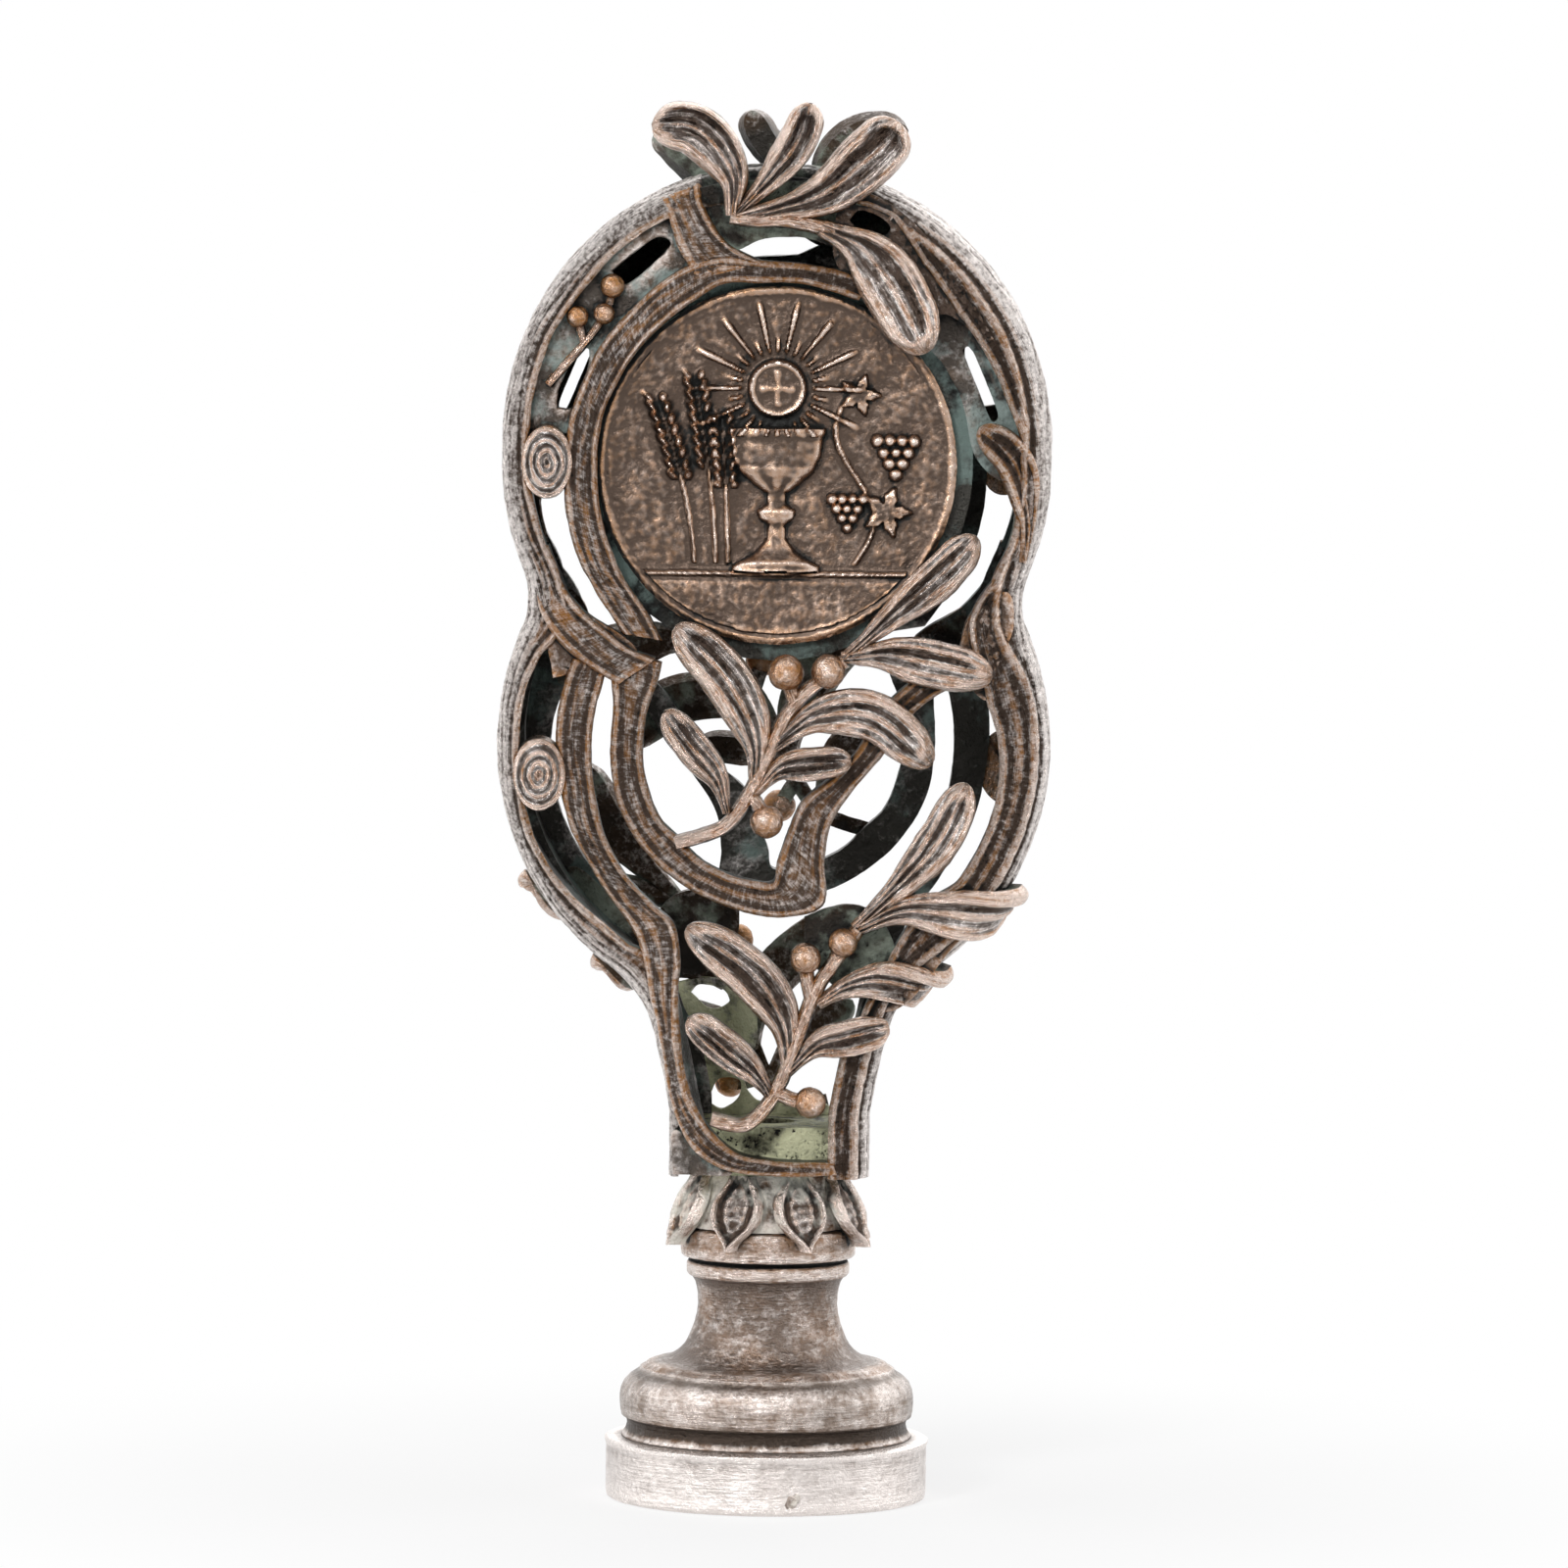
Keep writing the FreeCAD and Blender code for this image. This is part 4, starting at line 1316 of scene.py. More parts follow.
    def calm(self, rim: bpy.types.Object) -> None:
        """Evens out the wear of the side wall, which the hand polishes all over.

        Args:
            rim: the rim, with its wear measured.
        """
        for point, vert in zip(rim.data.attributes["crest"].data, rim.data.vertices):
            x, y, z = vert.co / METRE
            outside = ramp(0.35, 0.1, HANDLE.inset(x, z)) * ramp(HANDLE.side, HANDLE.side - 0.8, -y)
            point.value = 0.5 + (point.value - 0.5) * (1 - self.evened * outside)


class PlateKind(Enum):
    """What a plate looks like, as its place among the finishes of the piece."""

    WEB = 0
    BAND = 1
    TRAY = 2


@dataclass(frozen=True)
class Plate:
    """Sunk plate between the bands: its outline and then its holes, and how deep it lies."""

    loops: tuple[tuple[Pair, ...], ...]
    top: float
    low: float
    kind: PlateKind = PlateKind.WEB
    edge: float = 0.15


PLATES = (
    Plate((
        ((-15.4, 66.4), (-15.2, 69.3), (-14.3, 72.2), (-12.7, 74.8), (-10.6, 77.2), (-8.6, 78.8), (-6.6, 79.7),
         (-5.4, 78.8), (-5.2, 77.0), (-7.2, 74.5), (-9.6, 72.2), (-11.1, 69.6), (-12.2, 66.4)),
        ((-13.5, 67.8), (-13.4, 69.0), (-12.7, 70.5), (-12.1, 71.2), (-11.6, 71.3), (-11.75, 69.8), (-12.5, 67.9)),
        ((-10.2, 76.2), (-8.8, 77.4), (-7.4, 78.3), (-6.7, 77.9), (-7.6, 76.8), (-9.0, 75.6), (-9.9, 75.4)),
    ), -0.85, -1.7, PlateKind.TRAY),
    Plate((
        ((-5.2, 81.3), (-2.5, 81.8), (2.5, 81.8), (3.9, 81.3), (3.8, 79.8), (3.6, 78.0), (3.2, 77.9), (1.4, 78.4),
         (-1.0, 78.3), (-2.7, 77.6), (-4.2, 78.8)),
    ), -0.55, -1.9),
    Plate((
        ((3.6, 80.9), (5.6, 81.1), (8.0, 79.6), (10.3, 77.0), (12.1, 74.2), (13.3, 72.0), (12.4, 72.2), (11.3, 73.2),
         (10.2, 73.8), (8.8, 73.5), (7.6, 74.2), (5.6, 75.4), (4.0, 76.2), (3.3, 77.6)),
        ((4.25, 79.5), (4.9, 80.1), (6.0, 79.8), (6.8, 79.1), (6.3, 78.5), (5.1, 78.6)),
    ), -0.2, -1.8, PlateKind.BAND),
    Plate((
        ((8.9, 73.6), (10.6, 74.4), (12.6, 73.4), (14.0, 71.2), (14.9, 68.0), (15.3, 64.8), (13.9, 63.6),
         (12.2, 65.0), (11.4, 68.2), (10.2, 70.6), (9.0, 72.0)),
        ((11.3, 71.6), (11.8, 71.7), (12.5, 70.3), (13.2, 68.6), (13.55, 67.5), (13.2, 67.2), (12.7, 68.2),
         (12.1, 69.6)),
    ), -1.6, -2.4, PlateKind.TRAY, 0.08),
    Plate((((-5.9, 20.6), (-6.0, 23.2), (-4.9, 22.9), (-3.4, 21.6), (-2.4, 20.6)),), -0.7, -1.7, PlateKind.TRAY, 0.1),
    Plate((
        ((-13.6, 51.2), (-13.9, 53.6), (-12.9, 55.6), (-10.6, 54.6), (-8.6, 53.2), (-8.4, 51.6), (-10.8, 51.8)),
    ), -0.3, -1.7, PlateKind.BAND),
    Plate((
        ((7.6, 33.4), (9.4, 36.2), (12.2, 38.8), (13.2, 37.4), (10.8, 34.4), (8.4, 31.4), (6.6, 31.0)),
    ), -0.35, -1.8, PlateKind.BAND),
    Plate((
        ((2.0, 36.6), (4.6, 37.4), (6.4, 36.8), (7.6, 34.8), (7.4, 33.2), (5.0, 31.8), (3.4, 32.8), (2.2, 34.4)),
    ), -0.6, -1.5),
    Plate((
        ((11.2, 52.8), (12.0, 55.4), (14.2, 56.8), (14.6, 54.6), (13.6, 52.0), (13.4, 50.2), (12.3, 50.6)),
    ), -0.2, -1.8, PlateKind.BAND),
)
NECK_WALL = Plate((
    ((-6.0, 31.6), (-3.6, 31.9), (-1.2, 30.9), (-0.9, 28.0), (-1.6, 25.6), (-0.6, 24.2), (1.6, 24.6), (3.6, 24.0),
     (4.6, 22.4), (4.4, 21.0), (-4.0, 21.0), (-5.6, 24.0), (-6.1, 28.0)),
    ((-5.0, 31.0), (-4.4, 31.5), (-3.0, 31.2), (-2.6, 30.4), (-3.8, 30.0)),
    ((-3.9, 24.2), (-3.2, 25.6), (-1.9, 25.5), (-2.0, 24.4), (-3.0, 23.7)),
), -0.9, -1.6, edge=0.1)


@dataclass(frozen=True)
class Knot:
    """Ringed knot where bands meet, an oval dome with rings cut into it."""

    x: float
    z: float
    wide: float
    tall: float
    dome: float = 0.62
    fall: float = 0.3
    ring: float = 0.075
    rings: float = 3.6
    eye: Bead = Bead(0.0, 0.12, -0.25)
    ends: Bead = Bead(0.95, 0.08, 0.16)
    skirt: float = 1.6

    def point(self, share: float, turn: float) -> Vector:
        """Point of the knot.

        Args:
            share: share of the way out and down its skirt.
            turn: share of the way round it.

        Returns:
            The point.
        """
        out, angle = min(share / 0.8, 1.0), turn * 2 * math.pi
        sway = wander(math.cos(angle) + out, math.sin(angle), self.z)
        height = self.dome - self.fall * out ** 2.6 + self.eye.at(out) - self.skirt * ramp(0.8, 0.96, share)
        height += self.ring * math.sin(out * self.rings * 2 * math.pi + sway) * ramp(1.0, 0.85, out)
        height += self.ends.at(out) * hump(abs(math.sin(angle)), 1.0, 0.3)
        out *= (1 + 0.05 * ramp(0.8, 0.95, share)) * ramp(1.0, 0.97, share)
        right, up = self.x + self.wide * out * math.cos(angle), self.z + self.tall * out * math.sin(angle)
        return HANDLE.free(right, up, height - 0.3 * ramp(HANDLE.round_r, 0.8, HANDLE.inset(right, up)))


KNOTS = (Knot(-14.1, 64.5, 1.55, 2.2), Knot(-14.4, 45.3, 1.6, 2.2))


@dataclass
class Bands:
    """Flat bands, trays and plates inside the rim of the front half."""

    ring_outer: tuple[Pair, ...] = (
        (-9.3, 54.0), (-10.7, 56.0), (-11.9, 58.1), (-12.7, 60.4), (-13.0, 62.5), (-13.0, 64.8), (-12.7, 67.3),
        (-11.9, 69.6), (-10.8, 71.8), (-9.5, 73.4), (-7.5, 75.4), (-5.6, 76.6), (-3.6, 77.2), (-1.2, 77.0),
        (1.6, 76.8), (4.0, 76.4), (5.6, 75.9),
    )
    ring_inner: tuple[Pair, ...] = (
        (-6.9, 53.6), (-7.9, 55.4), (-9.2, 57.2), (-10.2, 59.4), (-10.8, 61.5), (-11.0, 63.6), (-11.0, 65.6),
        (-10.6, 67.6), (-9.9, 69.2), (-8.8, 71.1), (-7.2, 72.9), (-5.4, 74.3), (-3.4, 75.5), (-1.2, 75.6),
        (1.2, 75.6), (3.4, 75.1), (4.9, 74.6),
    )
    lap: tuple[Edges, ...] = (
        ((-15.5, 58.2), (-14.0, 59.4)), ((-15.0, 56.2), (-13.1, 57.1)), ((-14.3, 54.9), (-11.9, 55.5)),
        ((-13.0, 53.2), (-10.4, 54.2)), ((-11.2, 51.8), (-8.9, 53.1)), ((-9.6, 50.9), (-7.3, 52.5)),
    )
    middle: tuple[Edges, ...] = (
        ((-12.4, 52.4), (-10.2, 52.2)), ((-12.9, 50.9), (-10.6, 50.7)), ((-13.3, 49.1), (-11.0, 49.1)),
        ((-13.4, 47.3), (-11.2, 47.1)), ((-13.2, 45.4), (-11.1, 45.1)), ((-12.9, 43.5), (-10.7, 42.8)),
        ((-12.3, 41.6), (-10.1, 41.0)), ((-11.4, 40.0), (-9.0, 39.1)), ((-10.1, 37.9), (-7.3, 37.3)),
        ((-8.6, 35.9), (-6.0, 36.1)), ((-7.9, 34.0), (-5.6, 34.0)), ((-7.5, 31.6), (-5.7, 31.6)),
        ((-6.9, 28.4), (-5.5, 28.4)), ((-6.5, 25.8), (-5.1, 26.3)), ((-5.9, 24.1), (-4.6, 25.0)),
        ((-4.9, 22.4), (-3.5, 23.3)), ((-3.3, 21.2), (-1.9, 22.0)), ((-1.2, 20.7), (0.1, 21.6)),
        ((1.6, 20.6), (1.7, 21.5)), ((4.2, 20.7), (3.9, 21.5)),
    )
    loop: tuple[Edges, ...] = (
        ((-10.4, 53.2), (-6.9, 52.2)), ((-10.1, 51.7), (-7.2, 50.9)), ((-9.9, 49.8), (-7.8, 49.2)),
        ((-10.0, 47.7), (-8.0, 47.5)), ((-10.0, 46.1), (-8.0, 45.9)), ((-9.7, 44.0), (-7.6, 44.2)),
        ((-8.9, 42.1), (-6.9, 42.6)), ((-7.6, 40.3), (-5.7, 41.4)), ((-6.0, 38.9), (-4.5, 40.2)),
        ((-4.2, 37.8), (-3.1, 39.4)), ((-1.7, 36.9), (-1.5, 38.9)), ((0.8, 36.6), (0.0, 38.8)),
        ((3.2, 37.4), (0.3, 40.0)), ((3.2, 40.0), (0.9, 41.8)), ((3.6, 42.4), (1.8, 43.8)),
        ((5.0, 44.6), (3.6, 45.3)), ((6.7, 46.6), (5.1, 46.9)), ((8.1, 48.8), (6.6, 49.5)),
        ((10.4, 50.6), (9.0, 51.7)), ((12.9, 51.6), (11.7, 53.2)),
    )
    slant: tuple[Edges, ...] = (
        ((-7.6, 80.9), (-4.9, 81.9)), ((-7.0, 80.0), (-4.7, 80.6)), ((-6.6, 78.9), (-4.0, 79.1)),
        ((-6.2, 77.8), (-3.1, 78.0)), ((-5.6, 76.7), (-2.1, 77.4)), ((-5.2, 75.7), (-0.9, 76.9)),
    )

    def build(self) -> list[bpy.types.Object]:
        """Models every band and plate of the front half.

        Returns:
            The pieces.
        """
        tops = [Finish.BAND, Finish.INNER]
        shape = Shape()
        ring = list(zip(self.ring_outer, self.ring_inner))
        strip(shape, ring, BeadedFace(11.0, 0.1, 0.18, 0.07), 0.04)
        strip(shape, self.slant, BeadedFace(17.0, 0.0, 0.17, 0.05), 0.02)
        upper = shape.finish("front_upper_band", tops, "cast_bronze", ["front_openwork"])
        shape = Shape()
        strip(shape, self.middle, BeadedFace(23.0, 0.08, 0.12, 0.07, rise=0.22, rise_span=(0.3, 0.45)))
        strip(shape, self.loop, BeadedFace(29.0, 0.17, 0.17, 0.04), 0.06)
        strip(shape, self.lap, BeadedFace(31.0, 0.12, 0.14, 0.06, rise=0.5, rise_span=(0.0, 0.5), base=-0.25))
        lower = shape.finish("front_lower_band", tops, "cast_bronze", ["front_openwork"])
        return [upper, lower, self.plates(), self.bosses()]

    def plates(self) -> bpy.types.Object:
        """Sunk plates between the bands.

        Returns:
            The piece.
        """
        shape = Shape()
        for plate in PLATES:
            shape.slab(plate.loops, plate.top, plate.low, plate.edge, plate.kind.value)
        return shape.finish(
            "front_plates", [Finish.WEB, Finish.BAND, Finish.TRAY], "cast_bronze", ["front_openwork"])

    def neck_wall(self) -> bpy.types.Object:
        """Thin wall with holes that is left in the neck of the back half.

        Returns:
            The piece.
        """
        shape = Shape()
        shape.slab(NECK_WALL.loops, NECK_WALL.top, NECK_WALL.low, NECK_WALL.edge)
        bmesh.ops.scale(shape.bm, vec=(1, -1, 1), verts=shape.bm.verts)
        return shape.finish("back_neck_wall", [Finish.GREEN], "cast_bronze", ["back_openwork"])

    def bosses(self) -> bpy.types.Object:
        """Ringed knots where bands meet.

        Returns:
            The piece.
        """
        shape = Shape()
        for knot in KNOTS:
            shape.sheet(26, 56, knot.point, (3.0, 9.0))
        return shape.finish("front_knots", [Finish.LEAF], "cast_bronze", ["front_openwork"])


@dataclass(frozen=True)
class Leaf:
    """Paddle leaf of a mistletoe sprig, drawn flat around a spine."""

    spine: tuple[Pair, ...]
    width: float
    stalk: float = 0.5
    tip: float = 0.95
    under: float = -0.25
    dish: float = 0.36
    rim: float = 0.22
    lines: int = 4
    free: bool = False
    shares: tuple[float, ...] = (0.28, 0.33, 0.45, 0.62, 0.8, 0.93, 1.0, 1.0, 0.96)
    round_from: float = 0.78
    round_long: float = 0.22
    lip: float = 0.3
    fold: float = 0.1
    wave: float = 0.3
    rough: float = 0.07
    edge_r: float = 0.34
    across: int = 26

    def past_round(self, along: float) -> float:
        """Share of the way through the rounded tip, 0 before it."""
        return max((along - self.round_from) / self.round_long, 0.0)

    def half_width(self, along: float) -> float:
        """Half of the leaf's width.

        Args:
            along: share of its length.

        Returns:
            The half width.
        """
        last = len(self.shares) - 1
        place = min(along / self.round_from, 1.0) * last
        index = min(int(place), last - 1)
        share = self.shares[index] + (self.shares[index + 1] - self.shares[index]) * (place - index)
        return self.width / 2 * share * math.sqrt(max(1 - self.past_round(along) ** 2, 0.0))

    def height(self, part: float, along: float, seed: float) -> float:
        """Height of the leaf's face above the skin.

        Args:
            part: place across it, from -1 to 1.
            along: share of its length.
            seed: picks its grooves.

        Returns:
            The height.
        """
        past = self.past_round(along)
        out = math.sqrt(past * past + part * part * (1 - past * past))
        local = max(self.half_width(along), self.width * 0.35 * ramp(0.5, self.round_from, along))
        inward = (1 - out) * local
        belly = ramp(0.1, 0.5, along)
        body = self.stalk + (self.tip - self.stalk) * ramp(0.0, 0.75, along) - self.dish * belly * (1 - out * out)
        lip = self.lip * (1 + ramp(0.1, -0.8, part) * belly)
        body += self.rim * hump(inward, lip, lip * 0.7) * (0.5 + 0.5 * belly)
        sway = wander(along * 2.2, part, seed) * 0.35
        flow = ramp(1.0, 0.6, out) * (1.1 - 0.7 * past) * (0.75 + 0.5 * wander(along * 4, part * 3, seed + 3))
        body += self.fold * math.cos((part * self.lines + sway * 2) * math.pi) * flow
        body += self.wave * belly * math.sin(part * 2.2 + along * 3.6 + seed) * ramp(1.0, 0.7, out)
        body += self.rough * wander(along * 3, part * 2, seed + 9)
        return body - rolled(self.edge_r, inward) * 1.5

    def add(self, shape: Shape, seed: float) -> None:
        """Adds the leaf to a shape.

        Args:
            shape: the piece it is part of.
            seed: picks its grooves.
        """
        length = sum(math.dist(a, b) for a, b in zip(self.spine, self.spine[1:]))
        rows, last = max(18, int(length / 0.3)), self.across + 4
        lay = HANDLE.free if self.free else HANDLE.lay

        def place(share: float, along: float) -> Vector:
            """Point of the leaf.

            Args:
                share: share of the way round it, first across its face and then back underneath.
                along: share of the way along it.

            Returns:
                The point.
            """
            index = round(share * last) % last
            eased = 1 - (1 - along) ** 1.35
            spot = along_line(self.spine, eased)
            ahead = along_line(self.spine, min(eased + 0.02, 1.0)) - along_line(self.spine, eased - 0.02)
            side = Vector((ahead.y, -ahead.x)).normalized() * self.half_width(eased)
            if index > self.across:
                part, sunk = ((1.0, 0.35), (0.66, 1.0), (-0.66, 1.0))[index - self.across - 1]
                spot = spot + side * part
                top = self.stalk * 0.4
                return lay(spot.x, spot.y, top + (self.under - top) * sunk)
            part = 2 * index / self.across - 1
            spot = spot + side * part
            return lay(spot.x, spot.y, self.height(part, eased, seed))

        shape.sheet(last, rows, place, (last * 0.12, length), self.across)


@dataclass(frozen=True)
class Sprig:
    """Casting of leaves, stalks and berries, drawn around one height."""

    name: str
    height: float
    leaves: tuple[Leaf, ...] = ()
    stalks: tuple[tuple[Pair, ...], ...] = ()
    berries: tuple[tuple[float, float, float], ...] = ()
    stalk_w: float = 0.95
    berry_lift: float = 0.45
    lift: float = 0.1
    swell: float = 0.62

    def raised(self, points: Sequence[Pair]) -> tuple[Pair, ...]:
        """Points drawn around the sprig's height, in the object's own place."""
        return tuple((x, z + self.height) for x, z in points)

    def build(self) -> list[bpy.types.Object]:
        """Models the front sprig.

        Returns:
            Its pieces: the leaves with their stalks, and the berries.
        """
        node = "front_" + self.name
        shape = Shape()
        for index, leaf in enumerate(self.leaves):
            moved = replace(leaf, spine=self.raised(leaf.spine))
            moved.add(shape, index * 7.3 + self.height)
        for index, points in enumerate(self.stalks):
            spine = self.raised(points)
            pairs = []
            for step in range(2 * len(spine) - 1):
                share = step / (2 * len(spine) - 2)
                spot = along_line(spine, share)
                ahead = along_line(spine, share + 0.03) - along_line(spine, share - 0.03)
                side = Vector((-ahead.y, ahead.x)).normalized() * self.stalk_w / 2
                pairs.append(((spot.x + side.x, spot.y + side.y), (spot.x - side.x, spot.y - side.y)))
            strip(shape, pairs, StalkFace(self.swell, index + self.height), self.lift, self.lift - 0.35, across=12)
        kind = "_leaves" if self.leaves else "_stalks"
        # The undersides take the near-black web finish, which is partly painted shade under the leaves.
        made = [shape.finish(node + kind, [Finish.LEAF, Finish.WEB], "leaf_bronze", [node])]
        if self.berries:
            shape = Shape()
            for x, z, radius in self.berries:
                spot = HANDLE.lay(x, z + self.height, self.berry_lift)
                shape.ball(spot, radius, 0.96, x + z)
            made.append(shape.finish(node + "_berries", [Finish.BERRY], "leaf_bronze", [node]))
        return made


SPRIGS = (
    Sprig(
        "crown_sprig", 82.75,
        (
            Leaf(((-2.9, -3.0), (-3.0, -0.4), (-5.1, 2.1), (-7.9, 2.5)), 3.2, 0.5, 1.0, -1.3, 0.55, 0.34, 5, free=True),
            Leaf(((-2.8, -3.1), (-0.5, -0.6), (1.1, 1.7), (1.9, 3.9)), 2.4, 0.5, 0.9, -1.3, 0.35, 0.24, 4, free=True),
            Leaf(((-2.5, -3.2), (2.4, -1.8), (5.6, 0.8), (7.3, 2.8)), 3.6, 0.5, 1.0, -1.3, 0.65, 0.38, 4, free=True),
            Leaf(((2.6, -3.7), (5.1, -5.0), (7.1, -7.5), (9.1, -11.3)), 3.9, 0.6, 1.05, -0.3, 0.45, 0.28, 4),
        ),
        (((-3.0, -3.1), (-1.4, -3.3), (0.6, -3.3), (3.4, -3.9)),),
    ),
    Sprig(
        "middle_sprig", 47.15,
        (
            Leaf(((4.3, 5.5), (7.4, 8.3), (10.1, 10.6), (12.3, 13.1)), 2.6),
            Leaf(((4.1, 5.5), (6.9, 5.7), (9.7, 5.2), (13.4, 4.5)), 3.0),
            Leaf(((-0.2, -0.1), (2.7, 1.9), (6.2, 1.9), (9.7, -1.0)), 3.1),
            Leaf(((-1.1, -2.1), (-1.2, 0.7), (-2.9, 4.1), (-6.1, 7.4)), 3.1),
            Leaf(((-2.8, -4.1), (-3.5, -1.9), (-4.9, -0.2), (-6.7, 2.2)), 2.2),
            Leaf(((-1.1, -2.9), (0.4, -1.4), (2.5, -1.0), (4.8, -0.8)), 2.1),
        ),
        (
            ((-6.0, -6.0), (-2.9, -4.9), (-1.2, -2.4), (-0.2, -0.2), (0.7, 1.8), (1.9, 3.3), (4.3, 5.3)),
            ((-1.4, -3.0), (-0.9, -3.7), (-0.4, -4.6)),
            ((1.3, 2.6), (1.0, 3.6), (0.7, 4.6)),
            ((2.8, 4.1), (3.1, 4.4), (3.3, 4.7)),
        ),
        ((0.7, 4.6, 1.1), (3.3, 4.7, 1.05), (-0.4, -4.6, 1.02)),
    ),
    Sprig(
        "lower_sprig", 30.05,
        (
            Leaf(((5.1, 6.0), (8.2, 9.0), (10.3, 11.6), (11.9, 15.0)), 2.7),
            Leaf(((5.3, 5.9), (8.0, 7.0), (11.1, 6.9), (15.0, 6.9), (16.8, 6.6)), 3.1),
            Leaf(((2.9, 1.3), (4.9, 2.4), (7.6, 2.7), (10.6, 1.6), (12.4, 0.4)), 2.8),
            Leaf(((1.1, -3.0), (2.8, -1.3), (4.8, -0.8), (7.1, 0.0)), 2.3),
            Leaf(((1.1, -3.0), (0.8, 0.2), (-1.3, 3.1), (-5.2, 6.0)), 3.0),
            Leaf(((0.2, -4.7), (-1.1, -2.9), (-2.9, -1.4), (-5.1, 0.4)), 2.3),
        ),
        (
            ((-3.6, -5.9), (-1.6, -6.3), (0.0, -4.8), (1.2, -2.2), (2.3, 1.0), (3.2, 2.9), (5.3, 5.9)),
            ((2.5, 1.6), (2.2, 2.9), (2.1, 4.1)),
            ((3.9, 4.0), (4.2, 4.5), (4.4, 5.1)),
            ((0.4, -4.2), (1.4, -4.7), (2.5, -4.8)),
        ),
        ((2.1, 4.1, 0.97), (4.4, 5.1, 0.92), (2.5, -4.8, 0.95)),
    ),
    Sprig(
        "berry_twig", 64.4, (),
        (
            ((-14.1, 4.8), (-12.8, 6.3), (-11.4, 8.0), (-10.6, 9.3)),
            ((-11.9, 7.4), (-12.1, 8.2), (-12.3, 9.0)),
            ((-10.7, 9.0), (-10.3, 10.0), (-10.2, 10.9)),
        ),
        ((-12.3, 9.0, 0.68), (-10.7, 9.2, 0.66), (-10.2, 10.9, 0.76)),
        0.6, -0.45, -0.75, 0.4,
    ),
)


@dataclass
class Curl:
    """Leaf that curls out of the right of the upper ring."""

    leaf: Leaf = Leaf(((15.3, 58.6), (15.4, 61.8), (14.6, 64.8), (12.4, 66.9)), 2.4, 0.1, 0.35, -1.6, 0.3, 0.2, 3)

    def build(self) -> bpy.types.Object:
        """Models the leaf.

        Returns:
            The piece.
        """
        shape = Shape()
        self.leaf.add(shape, 71.0)
        # Its underside takes the near-black web finish, partly painted shade.
        return shape.finish("front_curl", [Finish.BAND, Finish.WEB], "cast_bronze", ["front_openwork"])


